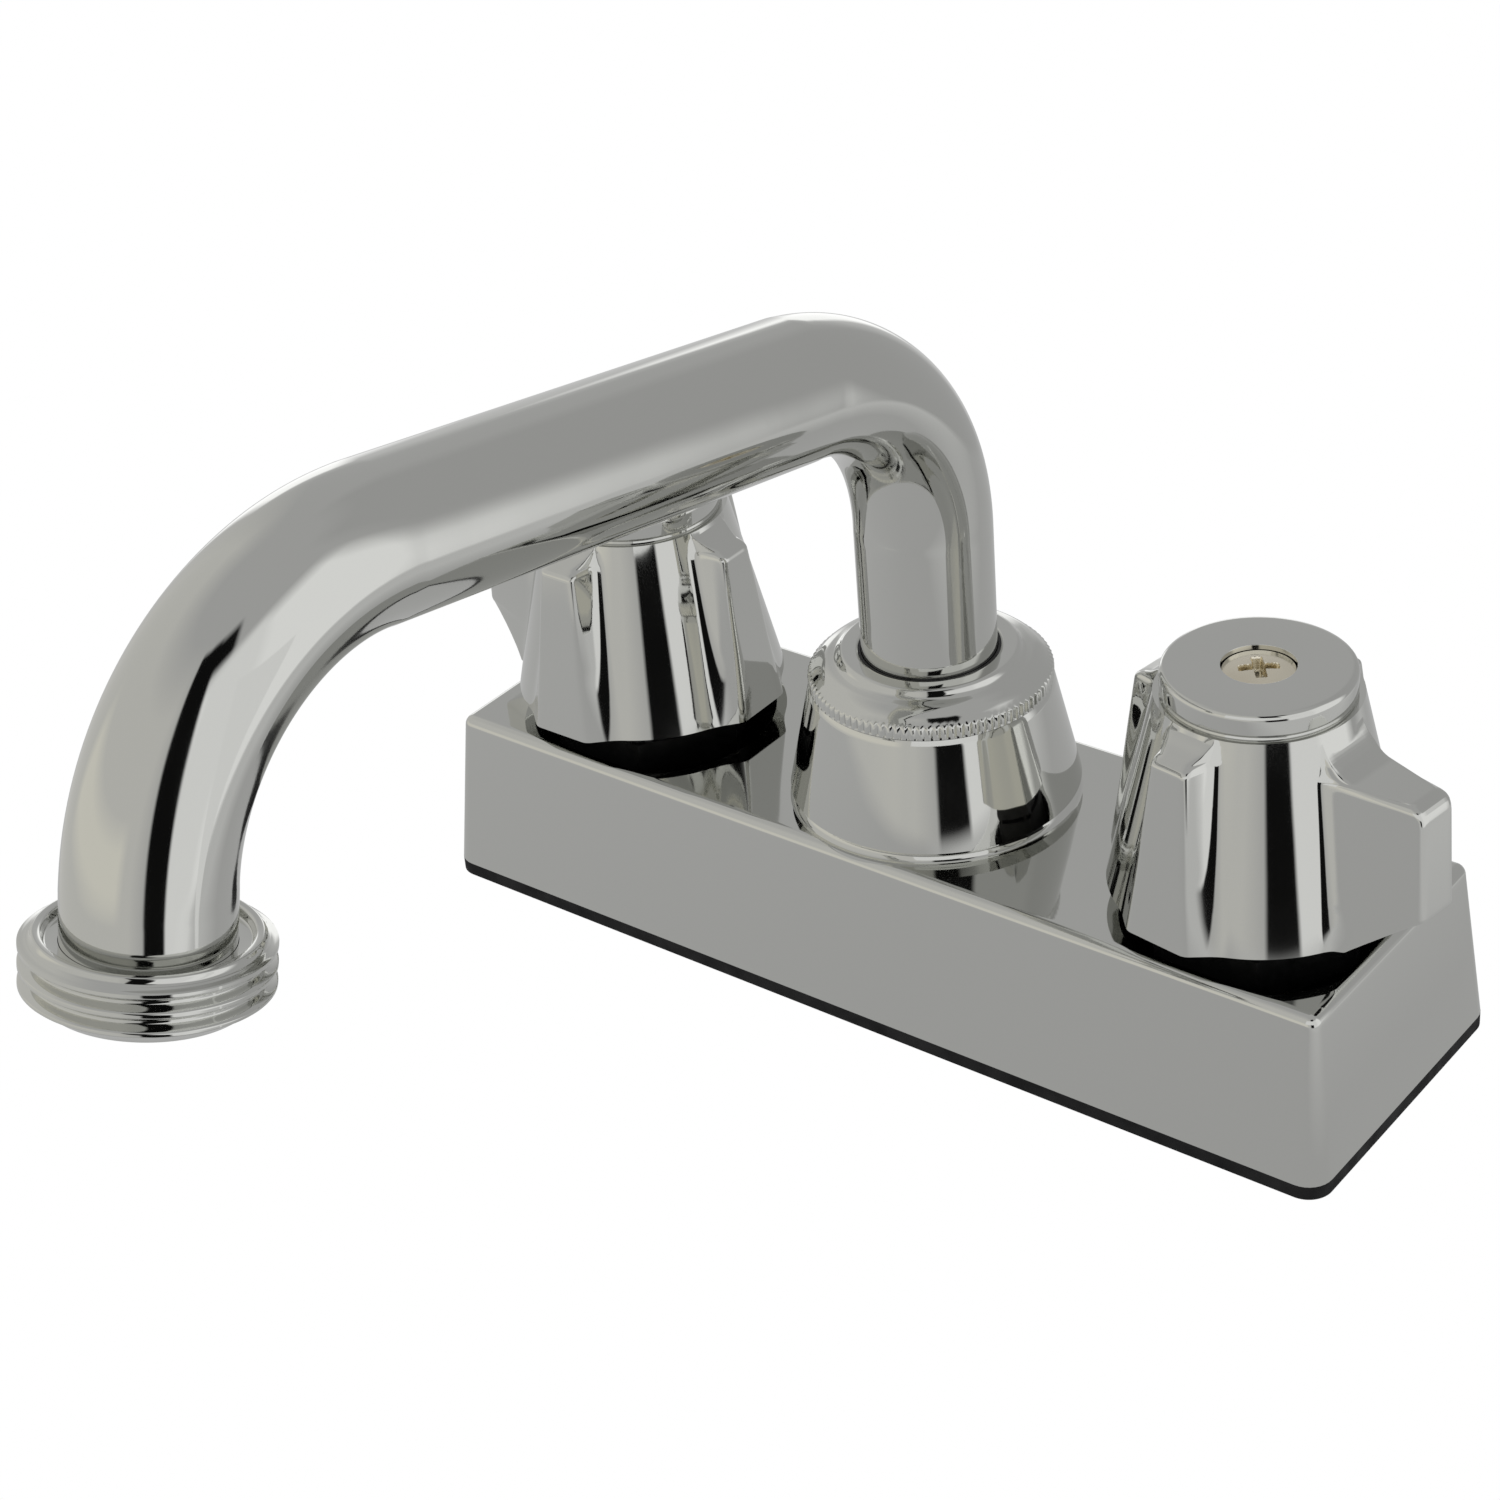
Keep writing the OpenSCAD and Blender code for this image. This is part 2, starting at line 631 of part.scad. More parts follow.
module spout_seal_rings() color([0.08, 0.08, 0.08]) {
    for (z = seal_heights) seal_ring(barrel_bore - fit - spout_seal_d / 2, spout_seal_d, z);
}

// Outlet ring round the tube's end: rolled top edge, groove round the tube and hose-thread crests
module hose_thread_outlet() color([0.80, 0.81, 0.80]) spout_frame() {
    r = hose_d / 2;
    root = r - hose_thread_depth;
    wall_in = tube_r + fit;
    groove_out = wall_in + ring_groove_w;
    crest = 0.3;
    first = 1.4;
    lip = r - lip_in;
    last = first + (hose_crests - 1) * hose_pitch + crest;
    translate([nose_end.x + drop_l * drop_dir.x, 0, nose_end.y + drop_l * drop_dir.y])
        rotate([0, 90 + drop_angle, 0]) rotate_extrude() polygon(concat(
            [[wall_in, ring_groove_h], [groove_out - 0.4, ring_groove_h], [groove_out, 0.25],
                [groove_out + 0.25, 0], [lip - 0.25, 0], [lip, 0.3], [lip + 0.2, first - crest - 0.4]],
            [for (i = [0 : hose_crests - 1], p = [[r, -crest], [r, crest],
                [root, hose_pitch / 2 - 0.2], [root, hose_pitch / 2 + 0.2]])
                if (i < hose_crests - 1 || p.x == r) [p.x, first + i * hose_pitch + p.y]],
            [[root, last + 0.5], [r - mouth_taper, ring_h], [tube_in, ring_h],
                [tube_in, ring_h - lip_back], [wall_in, ring_h - lip_back]]));
}

// Canopy handle: cap and band, conical skirt, lever lobe and three ribs, hollow below with a square socket
module handle(rest) color([0.80, 0.81, 0.80]) rotate([0, 0, rest]) {
    difference() {
        union() {
            difference() {
                union() {
                    loft([for (z = handle_levels) handle_ring(z)]);
                    handle_cap();
                }
                rotate_extrude() polygon([[0, rim_z - 1], [cone_r(rim_z - 1) - handle_wall, rim_z - 1],
                    [cone_r(cavity_top) - handle_wall, cavity_top], [0, cavity_top]]);
            }
            at_z(boss_z) cylinder(r = boss_r, h = cavity_top - boss_z + eps);
        }
        translate([-square_w / 2 - fit, -square_w / 2 - fit, boss_z - 1])
            cube([square_w + 2 * fit, square_w + 2 * fit, square_top - boss_z + 1 + fit]);
        at_z(square_top) cylinder(r = hole_r, h = cap_z);
        at_z(head_z) cylinder(r = head_r + 0.15, h = cap_z);
    }
}

// Flat cap with a rounded edge and a fine step under its band
module handle_cap() {
    step = 0.25;
    rotate_extrude() polygon(concat(
        [[0, band_z - 1], [cap_r - step, band_z - 1], [cap_r - step, band_z + step],
            [cap_r, band_z + 2 * step]],
        [for (a = [0 : 18 : 90]) [cap_r - cap_edge_r * (1 - cos(a)), cap_z - cap_edge_r * (1 - sin(a))]],
        [[0, cap_z]]));
}

// Recessed screw with a low oval head and a cross slot
module handle_screw() color([0.80, 0.76, 0.68]) {
    slot_w = 1.2;
    slot_l = 4.4;
    slot_depth = 1.3;
    head_dome = 0.5;
    difference() {
        union() {
            at_z(head_z) rotate_extrude() polygon(concat([[0, 0], [head_r, 0]],
                [for (i = [0 : 5]) let (a = 18 * i)
                    [head_r * cos(a), mix(screw_head_t - head_dome, screw_head_t, sin(a))]]));
            at_z(head_z - screw_l) cylinder(d = screw_d, h = screw_l + eps);
        }
        for (a = [0, 90]) rotate([0, 0, a])
            translate([-slot_l / 2, -slot_w / 2, head_z + screw_head_t - slot_depth])
                cube([slot_l, slot_w, slot_depth + 1]);
    }
}

// The two tangs by which a stem turns its disc, grown by a clearance all round
module tangs(grow, z, h) {
    for (y = [-1, 1]) translate([-tang_w / 2 - grow, y * tang_y - tang_t / 2 - grow, z])
        cube([tang_w + 2 * grow, tang_t + 2 * grow, h]);
}

// Brass stem: driver with two tangs, round shaft with a seal groove, square end tapped for the screw
module stem(rest) color([0.72, 0.58, 0.30]) rotate([0, 0, rest]) {
    groove_h = 1.3 * stem_seal_d;
    difference() {
        union() {
            at_z(driver_z + fit) cylinder(r = disc_r - 0.2, h = driver_t);
            at_z(driver_z + fit) cylinder(r = stem_r, h = square_z - driver_z);
            translate([-square_w / 2, -square_w / 2, square_z]) cube([square_w, square_w, square_l]);
            tangs(0, driver_z - tang_l, 2);
        }
        tube(stem_r + 1, stem_groove, stem_seal_z - groove_h / 2, stem_seal_z + groove_h / 2);
        at_z(head_z - screw_l - 1) cylinder(r = screw_d / 2 + fit, h = screw_l + 4);
    }
}

stem_seal_z = neck_top + cart_flange_t + 2;

module stem_seal() color([0.08, 0.08, 0.08]) {
    seal_ring(stem_bore - fit - stem_seal_d / 2, stem_seal_d, stem_seal_z);
}

// Ceramic disc that turns with the stem: two cut-away quarters and slots for the stem's tangs
module turning_disc(rest) color([0.93, 0.92, 0.88]) rotate([0, 0, rest]) {
    difference() {
        at_z(turning_z) cylinder(r = disc_r, h = disc_t);
        for (x = [-1, 1]) translate([x * disc_r * 0.56, 0, turning_z - 1])
            cylinder(r = port_r, h = disc_t + 2);
        tangs(fit + 0.05, driver_z - tang_l - 2 * fit, 2 * tang_l);
    }
}

// Ceramic disc that stays still, with the two water ports
module fixed_disc() color([0.93, 0.92, 0.88]) {
    difference() {
        at_z(disc_z) cylinder(r = disc_r, h = disc_t);
        for (y = [-1, 1]) translate([0, y * disc_r / 2, disc_z - 1])
            cylinder(r = port_r, h = disc_t + 2);
    }
}

// Rubber seal under the fixed disc
module seat_seal() color([0.08, 0.08, 0.08]) {
    tube(disc_r, disc_r * 0.8, floor_z, disc_z);
}

// Brass cartridge: barrel with side windows, flange and neck
module cartridge_body() color([0.75, 0.62, 0.35]) {
    window_z = turning_z + 0.6;
    difference() {
        union() {
            at_z(cart_z) cylinder(r = cart_r, h = neck_top - cart_z + eps);
            at_z(neck_top) cylinder(r = cart_flange_r, h = cart_flange_t);
            at_z(neck_top) cylinder(d = cart_neck_d, h = cart_top - neck_top);
        }
        at_z(cart_z - 1) cylinder(r = disc_r + fit, h = driver_top + turn_gap - cart_z + 1);
        at_z(cart_z) cylinder(r = stem_bore, h = cart_top);
        for (x = [-1, 1]) translate([x * cart_r - 3, -3, window_z]) cube([6, 6, driver_top - window_z - 1]);
    }
}

// Hexagon nut that clamps cartridge, body and waterway together
module bonnet_nut() color([0.10, 0.10, 0.10]) {
    lip_z = neck_top + cart_flange_t;
    difference() {
        at_z(top_z) cylinder(r = bonnet_af / 2 / cos(30), h = lip_z + bonnet_lip - top_z, $fn = 6);
        at_z(top_z - 1) cylinder(r = bonnet_bore, h = lip_z - top_z + 1);
        at_z(top_z) cylinder(d = cart_neck_d + 0.4, h = cart_top);
    }
}

// Threaded inlet shank, screwed into the waterway and hanging through the deck.
// It is drawn at its crests, and at the depth of bite where the mounting nut holds it
module inlet_shank() color([0.72, 0.58, 0.30]) {
    difference() {
        tube(shank_d / 2, shank_bore / 2, -shank_l, gasket_t + socket_l);
        tube(shank_d, bite_r, locknut_z, locknut_top);
    }
}

// Mounting nut with a washer face, run up under the deck
module mounting_nut() color([0.72, 0.58, 0.30]) {
    difference() {
        union() {
            at_z(locknut_top - locknut_flange_t) cylinder(d = locknut_flange_d, h = locknut_flange_t);
            at_z(locknut_z) cylinder(r = locknut_af / 2 / cos(30), h = locknut_h + eps, $fn = 6);
        }
        at_z(locknut_z - 1) cylinder(r = bite_r + fit, h = locknut_top - locknut_z + 2);
    }
}

body_shell();
base_gasket();
valve_manifold();
spout_nut();
spout_bushing();
spout_tube();
spout_sleeve();
spout_seal_rings();
hose_thread_outlet();
on_side(-1) handle(hot_rest);  // hot_handle
on_side(-1) handle_screw();  // hot_handle_screw
on_side(-1) stem(hot_rest);  // hot_stem
on_side(-1) stem_seal();  // hot_stem_seal
on_side(-1) turning_disc(hot_rest);  // hot_turning_disc
on_side(-1) fixed_disc();  // hot_fixed_disc
on_side(-1) seat_seal();  // hot_seat_seal
on_side(-1) cartridge_body();  // hot_cartridge_body
on_side(-1) bonnet_nut();  // hot_bonnet_nut
on_side(-1) inlet_shank();  // hot_inlet_shank
on_side(-1) mounting_nut();  // hot_mounting_nut
on_side(1) handle(cold_rest);  // cold_handle
on_side(1) handle_screw();  // cold_handle_screw
on_side(1) stem(cold_rest);  // cold_stem
on_side(1) stem_seal();  // cold_stem_seal
on_side(1) turning_disc(cold_rest);  // cold_turning_disc
on_side(1) fixed_disc();  // cold_fixed_disc
on_side(1) seat_seal();  // cold_seat_seal
on_side(1) cartridge_body();  // cold_cartridge_body
on_side(1) bonnet_nut();  // cold_bonnet_nut
on_side(1) inlet_shank();  // cold_inlet_shank
on_side(1) mounting_nut();  // cold_mounting_nut
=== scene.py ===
# %% [markdown]
# # A laundry tub faucet in chrome
# The faucet stands on a deck on 4 in centres. A bent tube swings over the basin and ends in a
# hose thread, and two canopy handles turn the valves. The CAD frame gives every place and size.
# What shows is made again here as dense smooth surfaces, because chrome is a mirror and a mirror
# shows each facet. The pieces that lie sealed inside stay as the CAD made them.

# %% Load the frame
import json
import math
import bmesh
import bpy
import numpy as np
from mathutils import Matrix

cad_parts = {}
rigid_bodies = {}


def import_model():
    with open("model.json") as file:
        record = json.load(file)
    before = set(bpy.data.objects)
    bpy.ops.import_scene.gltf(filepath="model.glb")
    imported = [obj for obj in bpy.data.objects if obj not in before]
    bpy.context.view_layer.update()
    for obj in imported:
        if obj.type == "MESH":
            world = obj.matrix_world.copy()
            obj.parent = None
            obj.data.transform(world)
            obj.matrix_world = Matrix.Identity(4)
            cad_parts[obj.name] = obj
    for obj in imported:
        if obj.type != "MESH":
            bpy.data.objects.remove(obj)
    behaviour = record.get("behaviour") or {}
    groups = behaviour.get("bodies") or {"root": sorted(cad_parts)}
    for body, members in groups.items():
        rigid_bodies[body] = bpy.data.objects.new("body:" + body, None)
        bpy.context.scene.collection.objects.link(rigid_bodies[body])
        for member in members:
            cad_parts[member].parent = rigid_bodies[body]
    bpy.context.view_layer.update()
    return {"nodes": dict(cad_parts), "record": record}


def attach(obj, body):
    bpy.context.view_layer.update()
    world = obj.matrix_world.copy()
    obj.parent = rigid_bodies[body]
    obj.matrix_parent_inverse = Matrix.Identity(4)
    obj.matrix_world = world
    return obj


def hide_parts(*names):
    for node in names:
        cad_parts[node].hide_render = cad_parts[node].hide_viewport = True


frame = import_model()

MM = 0.001

# %% [markdown]
# ## The camera
# A camera is a place, three directions and a lens. The photograph fixes all of them: the edges of
# the body run to their vanishing points, and the two handles stand 101.6 mm apart. The directions
# go straight into the camera's matrix, so nothing is tilted by hand, and the shift stays zero so
# that other views of the same camera keep the faucet in the middle.

# %% Place the camera
camera_place = np.array([223.659, -304.809, 268.575]) * MM
right = np.array([0.79136515, 0.60679726, -0.07441962])
up = np.array([-0.27159424, 0.45801442, 0.84643922])
back = np.array([0.54770226, -0.64963057, 0.52725929])

camera_data = bpy.data.cameras.new("camera")
camera_data.sensor_fit = "HORIZONTAL"
camera_data.sensor_width = 36
camera_data.lens = 77.213
camera_data.clip_start = 0.01
camera = bpy.data.objects.new("camera", camera_data)
bpy.context.scene.collection.objects.link(camera)
pose = np.eye(4)
pose[:3, 0], pose[:3, 1], pose[:3, 2], pose[:3, 3] = right, up, back, camera_place
camera.matrix_world = Matrix(pose.tolist())
bpy.context.scene.camera = camera
print("camera", round(float(np.linalg.norm(camera_place)) / MM), "mm from the deck's middle")

# %% [markdown]
# ## The studio
# Chrome has almost no colour of its own: what one sees is the room. The photograph was taken in a
# grey light tent with a bright panel on the right, a narrow dark gap beside the camera and a white
# table edge behind. Such a room could be built from cards. Here it is painted on the world's
# sphere, because a world has no noise and no near edge. Rays from the camera see plain white, as
# in the photograph, and every other ray sees the room.

# %% A helper that adds nodes
def node(tree, kind, links=None, **values):
    """Adds one node. Values set its properties or its sockets. Links joins other nodes' outputs to
    its sockets, by name or number."""
    made = tree.nodes.new(kind)
    for key, value in values.items():
        if hasattr(made, key):
            setattr(made, key, value)
        else:
            made.inputs[key.replace("_", " ")].default_value = value
    for socket, source in (links or {}).items():
        tree.links.new(source, made.inputs[socket])
    return made


def math_node(tree, operation, a, b=0.0, clamp=False):
    """One sum on two numbers, each a plain value or another node's output."""
    made = tree.nodes.new("ShaderNodeMath")
    made.operation = operation
    made.use_clamp = clamp
    for socket, value in zip(made.inputs, (a, b)):
        if isinstance(value, (int, float)):
            socket.default_value = value
        else:
            tree.links.new(value, socket)
    return made.outputs[0]


def grey(value, tint=(1, 1, 1)):
    """A colour from a photograph's grey of 0 to 255, as the light that Blender counts in. Values
    over 255 are brighter than white paper."""
    linear = ((value / 255 + 0.055) / 1.055) ** 2.4
    return (linear * tint[0], linear * tint[1], linear * tint[2], 1)


# %% Paint the room
world = bpy.data.worlds.new("light_tent")
bpy.context.scene.world = world
world.use_nodes = True
tree = world.node_tree
tree.nodes.clear()
ray = node(tree, "ShaderNodeTexCoord").outputs["Generated"]
axes = node(tree, "ShaderNodeSeparateXYZ", {0: ray}).outputs
azimuth = math_node(tree, "ARCTAN2", axes[1], axes[0])
azimuth = math_node(tree, "DEGREES", azimuth)
height = math_node(tree, "DEGREES", math_node(tree, "ARCSINE", axes[2]))


def patch(centre, half_width, low, high, soft, lean=0.0):
    """A soft-edged patch of the room, in degrees: 1 inside, 0 outside. Lean slants its upright
    edges by so many degrees of azimuth per degree of height."""
    off = math_node(tree, "SUBTRACT", azimuth, centre)
    off = math_node(tree, "SUBTRACT", off, math_node(tree, "MULTIPLY", height, lean))
    off = math_node(tree, "WRAP", off, 180.0)
    off.node.inputs[2].default_value = -180.0
    inside = 1.0
    for a, b in ((half_width, math_node(tree, "ABSOLUTE", off)), (height, low), (high, height)):
        edge = math_node(tree, "MULTIPLY_ADD", math_node(tree, "SUBTRACT", a, b), 1 / soft, True)
        edge.node.inputs[2].default_value = 0.5
        inside = math_node(tree, "MULTIPLY", edge, inside)
    return inside


room = node(tree, "ShaderNodeRGB").outputs[0]
room.default_value = grey(186)
# Name, middle azimuth, half width, lowest and highest height, softness, lean, colour
patches = [
    ("right panel", 8, 38, -30, 44, 12, -0.35, grey(254)),
    ("left wall", 226, 74, -34, 56, 22, 0.0, grey(209, (1.01, 1.0, 0.965))),
    ("cream strip", 234, 42, -6, 14, 9, 0.0, grey(230, (1.0, 0.975, 0.89))),
    ("back corner", 75, 32, -40, 60, 12, 0.0, grey(178)),
    ("table behind", 128, 20, -34, 13, 11, 0.0, grey(208)),
    ("table edge left", 144, 6, -14, 10, 4, 0.0, grey(285)),
    ("table edge right", 122, 7, -13, 11, 4, 0.0, grey(285)),
    ("lens panel", 345, 17, -25, 44, 6, 0.0, grey(243)),
    ("dark gap", 317.5, 12, -60, 62, 3, -0.12, grey(18)),
    ("top of the gap", 325, 15, 48, 62, 5, 0.0, grey(18)),
]
for name, centre, half, low, high, soft, lean, colour in patches:
    mix = node(tree, "ShaderNodeMix", data_type="RGBA")
    tree.links.new(patch(centre, half, low, high, soft, lean), mix.inputs[0])
    tree.links.new(room, mix.inputs[6])
    mix.inputs[7].default_value = colour
    room = mix.outputs[2]
print("room of", len(patches), "patches")

# %% White for the camera, the room for every other ray
seen = node(tree, "ShaderNodeBackground", Color=(1, 1, 1, 1), Strength=1.0)
lit = node(tree, "ShaderNodeBackground", {0: room}, Strength=1.0)
to_camera = node(tree, "ShaderNodeLightPath").outputs["Is Camera Ray"]
choice = node(tree, "ShaderNodeMixShader", {0: to_camera, 1: lit.outputs[0], 2: seen.outputs[0]})
node(tree, "ShaderNodeOutputWorld", {0: choice.outputs[0]})
bpy.context.scene.view_settings.view_transform = "Standard"
bpy.context.scene.view_settings.look = "None"
print("view transform:", bpy.context.scene.view_settings.view_transform)

# %% [markdown]
# ## Surfaces from numbers
# Every new piece is a grid: a whole array of points, worked out at once, whose neighbours are
# joined by four-cornered faces. A grid can close on itself across its rows, its columns or both,
# as a tube or a ring does. Merging the doubled points then leaves one closed skin. Edges that turn
# by more than a set angle stay crisp and everything else is shaded smooth.

# %% From arrays to a mesh
same_point, no_length = 2e-6, 1e-7  # in metres


def quads(rows, cols, wrap_rows, wrap_cols):
    """Corner numbers of the faces of a rows by cols grid: each point with its next ones."""
    number = np.arange(rows * cols).reshape(rows, cols)
    over, down = np.roll(number, -1, 1), np.roll(number, -1, 0)
    faces = np.stack([number, over, np.roll(over, -1, 0), down], -1)
    last_row, last_col = (rows if wrap_rows else rows - 1), (cols if wrap_cols else cols - 1)
    return faces[:last_row, :last_col].reshape(-1, 4)


def skin(name, grids, body, nodes, sharp=40):
    """Puts grids of points, in mm, into one mesh. Each grid is (points, wrap_rows, wrap_cols).
    Doubled points are merged and the faces turned outward. The piece rides on its body."""
    points = np.concatenate([grid.reshape(-1, 3) for grid, _, _ in grids]) * MM
    starts = np.cumsum([0] + [grid.shape[0] * grid.shape[1] for grid, _, _ in grids])
    faces = np.concatenate([quads(*grid.shape[:2], wrap_rows, wrap_cols) + start
                            for (grid, wrap_rows, wrap_cols), start in zip(grids, starts)])
    mesh = bpy.data.meshes.new(name)
    mesh.from_pydata(points, [], faces.tolist())
    shape = bmesh.new()
    shape.from_mesh(mesh)
    bmesh.ops.remove_doubles(shape, verts=shape.verts, dist=same_point)
    bmesh.ops.dissolve_degenerate(shape, edges=shape.edges, dist=no_length)
    bmesh.ops.recalc_face_normals(shape, faces=shape.faces)
    shape.to_mesh(mesh)
    open_edges = sum(not e.is_manifold for e in shape.edges)
    shape.free()
    mesh.shade_smooth()
    mesh.set_sharp_from_angle(angle=math.radians(sharp))
    piece = bpy.data.objects.new(name, mesh)
    bpy.context.scene.collection.objects.link(piece)
    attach(piece, body)
    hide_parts(*nodes)
    print(name, len(mesh.vertices), "points,", len(mesh.polygons), "faces,", open_edges,
          "open edges")
    return piece


# %% Turned profiles and rounded corners
TURN = 2 * np.pi


def around(count):
    """Equal angles round a circle."""
    return np.arange(count) / count * TURN


def spin(profile, angles):
    """Turns a profile of (radius, height) rows about the z axis: x = r cos a, y = r sin a."""
    r, z = np.asarray(profile, float).T[:, :, None]
    return np.stack([r * np.cos(angles), r * np.sin(angles), z + 0 * angles], -1)


def rounded(corners, radius, steps):
    """Rounds the inner corners of an open line with short curves. Each curve is the mean, weighted
    by (1 - t)^2, 2 t (1 - t) and t^2, of a point before the corner, the corner and one after."""
    p = np.asarray(corners, float)
    before, after = np.roll(p, 1, 0) - p, np.roll(p, -1, 0) - p
    long_b = np.linalg.norm(before, axis=1, keepdims=True)
    long_a = np.linalg.norm(after, axis=1, keepdims=True)
    cut = np.array(radius, float).reshape(-1, 1)
    cut[[0, -1]] = 0
    start = p + before / np.maximum(long_b, 1e-9) * np.minimum(cut, long_b * 0.45)
    end = p + after / np.maximum(long_a, 1e-9) * np.minimum(cut, long_a * 0.45)
    t = np.linspace(0, 1, steps)[None, :, None]
    curve = (1 - t) ** 2 * start[:, None] + 2 * t * (1 - t) * p[:, None] + t ** 2 * end[:, None]
    flat = curve.reshape(-1, p.shape[1])
    keep = np.r_[True, np.linalg.norm(np.diff(flat, axis=0), axis=1) > 1e-5]
    return flat[keep]


# %% [markdown]
# ## Chrome plate
# Chrome plate is a bright metal layer over nickel. It mirrors nearly all light with a hint of
# grey, and it is never quite flat: buffing leaves soft waves, and dust and water leave faint dull
# clouds. A metallic shader with very low roughness gives the mirror, one slow noise makes the
# clouds and another bends the normal a little.

# %% Helpers for finishes
def finish(name, colour, metallic, roughness):
    """A material with one glossy shader. Returns the material, its tree, the shader and the place
    on the object that its patterns read."""
    material = bpy.data.materials.new(name)
    material.use_nodes = True
    shader_tree = material.node_tree
    shader = shader_tree.nodes["Principled BSDF"]
    shader.inputs["Base Color"].default_value = (*colour, 1)
    shader.inputs["Metallic"].default_value = metallic
    shader.inputs["Roughness"].default_value = roughness
    place = node(shader_tree, "ShaderNodeTexCoord").outputs["Object"]
    return material, shader_tree, shader, place


def clouds(shader_tree, place, scale, low, high, detail=2.0):
    """A noise of that many waves a metre, stretched to run from low to high."""
    noise = node(shader_tree, "ShaderNodeTexNoise", {"Vector": place}, Scale=scale, Detail=detail)
    span = node(shader_tree, "ShaderNodeMapRange", {"Value": noise.outputs["Fac"]},
                From_Min=0.3, From_Max=0.7, To_Min=low, To_Max=high)
    return span.outputs["Result"]


def waves(shader_tree, shader, height_value, distance, strength=1.0):
    """Bends the shader's normal by a height pattern, distance metres deep."""
    bump = node(shader_tree, "ShaderNodeBump", {"Height": height_value}, Distance=distance,
                Strength=strength)
    shader_tree.links.new(bump.outputs["Normal"], shader.inputs["Normal"])


# %% Chrome
bright, dull, wave_depth = 0.03, 0.07, 0.00002
chrome, chrome_tree, chrome_shader, place = finish("chrome", (0.628, 0.632, 0.608), 1.0, bright)
rough = clouds(chrome_tree, place, 90, bright, dull)
chrome_tree.links.new(rough, chrome_shader.inputs["Roughness"])
waves(chrome_tree, chrome_shader, clouds(chrome_tree, place, 70, 0, 1, 1.0), wave_depth)
print("chrome with roughness from", bright, "to", dull)

# %% [markdown]
# ## The spout tube
# The real spout is one brass tube, bent twice and plated. Its wall is the same everywhere, so the
# piece is a circle carried along a line. The line is a riser, an arc, a rising arm, a second arc
# and a short outlet. Each station of the line has a place and a direction, and the circle stands
# square to the direction. The outside and the bore share one grid that closes at both ends.

# %% The spout's line
tube_r, tube_wall = 9.3, 1.2
tube_foot, riser_top, bend_r = 33.1, 67.5, 30.2
arm_rise, arm_l, nose_bend_r = math.radians(9.3), 72.0, 31.8
drop_angle, drop_l, spout_rest = math.radians(76.4), 4.5, math.radians(2)
ring_h, lip_back = 7.82, 0.8
hold = 0.8  # a row this far from a bend keeps the straight part's shading straight


def line_station(start, tilt, along):
    """Places on a straight: start plus along times (cos tilt, sin tilt). Rows of u, z, tilt."""
    along = np.asarray(along, float)
    u, z = start[0] + along * np.cos(tilt), start[1] + along * np.sin(tilt)
    return np.stack([u, z, tilt + 0 * along], 1)


def arc_station(start, tilt_from, tilt_to, radius, steps):
    """Places on an arc that turns down from one tilt to the other: the start plus the radius
    times the change of (-sin tilt, cos tilt), turned the way that the arc bends."""
    tilt = np.linspace(tilt_from, tilt_to, steps + 1)[1:]
    u = start[0] + radius * (np.sin(tilt_from) - np.sin(tilt))
    z = start[1] + radius * (np.cos(tilt) - np.cos(tilt_from))
    return np.stack([u, z, tilt], 1)


def spout_line(arc_rows):
    """The line from the tube's foot to its mouth, as rows of u outward, z up and tilt."""
    riser = line_station((0, tube_foot), math.pi / 2, [0, 8, 20, riser_top - tube_foot - hold,
                                                       riser_top - tube_foot])
    first = arc_station(riser[-1], math.pi / 2, arm_rise, bend_r, arc_rows)
    arm = line_station(first[-1], arm_rise, [hold, arm_l / 3, arm_l * 2 / 3, arm_l - hold, arm_l])
    second = arc_station(arm[-1], arm_rise, -drop_angle, nose_bend_r, arc_rows)
    outlet_l = drop_l + ring_h - lip_back
    outlet = line_station(second[-1], -drop_angle, [hold, drop_l, outlet_l - 0.3, outlet_l])
    return np.concatenate([riser, first, arm, second, outlet])


def in_spout_frame(u, side, z):
    """From outward, sideways and up to the shared frame: the spout stands turned toward the hot
    side by its rest angle."""
    c, s = math.cos(spout_rest), math.sin(spout_rest)
    return np.stack([c * side - s * u, -s * side - c * u, z + 0 * side], -1)


def pressed(tilt):
    """How much a bend flattens the tube: a sine of the share of the bend that is done."""
    first = np.clip((math.pi / 2 - tilt) / (math.pi / 2 - arm_rise), 0, 1)
    second = np.clip((arm_rise - tilt) / (arm_rise + drop_angle), 0, 1)
    return 0.07 * np.sin(math.pi * first) ** 0.7 + 0.05 * np.sin(math.pi * second) ** 0.7


def carried_circle(line, radius, angles):
    """A circle carried along the line: centre + radius (cos a across + sin a sideways). In a bend
    it is pressed flatter across the bend and grows a little sideways."""
    u, z, tilt = (line[:, i, None] for i in range(3))
    across = radius * (1 - pressed(tilt)) * np.cos(angles)
    side = radius * (1 + 0.35 * pressed(tilt)) * np.sin(angles)
    return in_spout_frame(u - across * np.sin(tilt), side, z + across * np.cos(tilt))


# %% The tube with its wall
line = spout_line(44)
tube_l = np.linalg.norm(np.diff(line[:, :2], axis=0), axis=1).sum()
print("tube length", round(float(tube_l), 1), "mm")
outside = carried_circle(line, tube_r, around(144))
bore = carried_circle(line[::-1], tube_r - tube_wall, around(144))
skin("spout_tube_surface", [(np.concatenate([outside, bore]), True, True)],
     "spout", ["spout_tube"])

# %% [markdown]
# ## The hose thread
# A garden hose screws onto the outlet. The ring is brazed round the tube's end: a rolled top edge,
# a groove beside the tube, and a thread with round crests, 2.2 mm apart. A thread is one ridge
# that climbs as it goes round, so the ridge's height depends on the place along the axis minus
# the share of the turn. The ridge fades out at both ends, as a cut thread runs out.

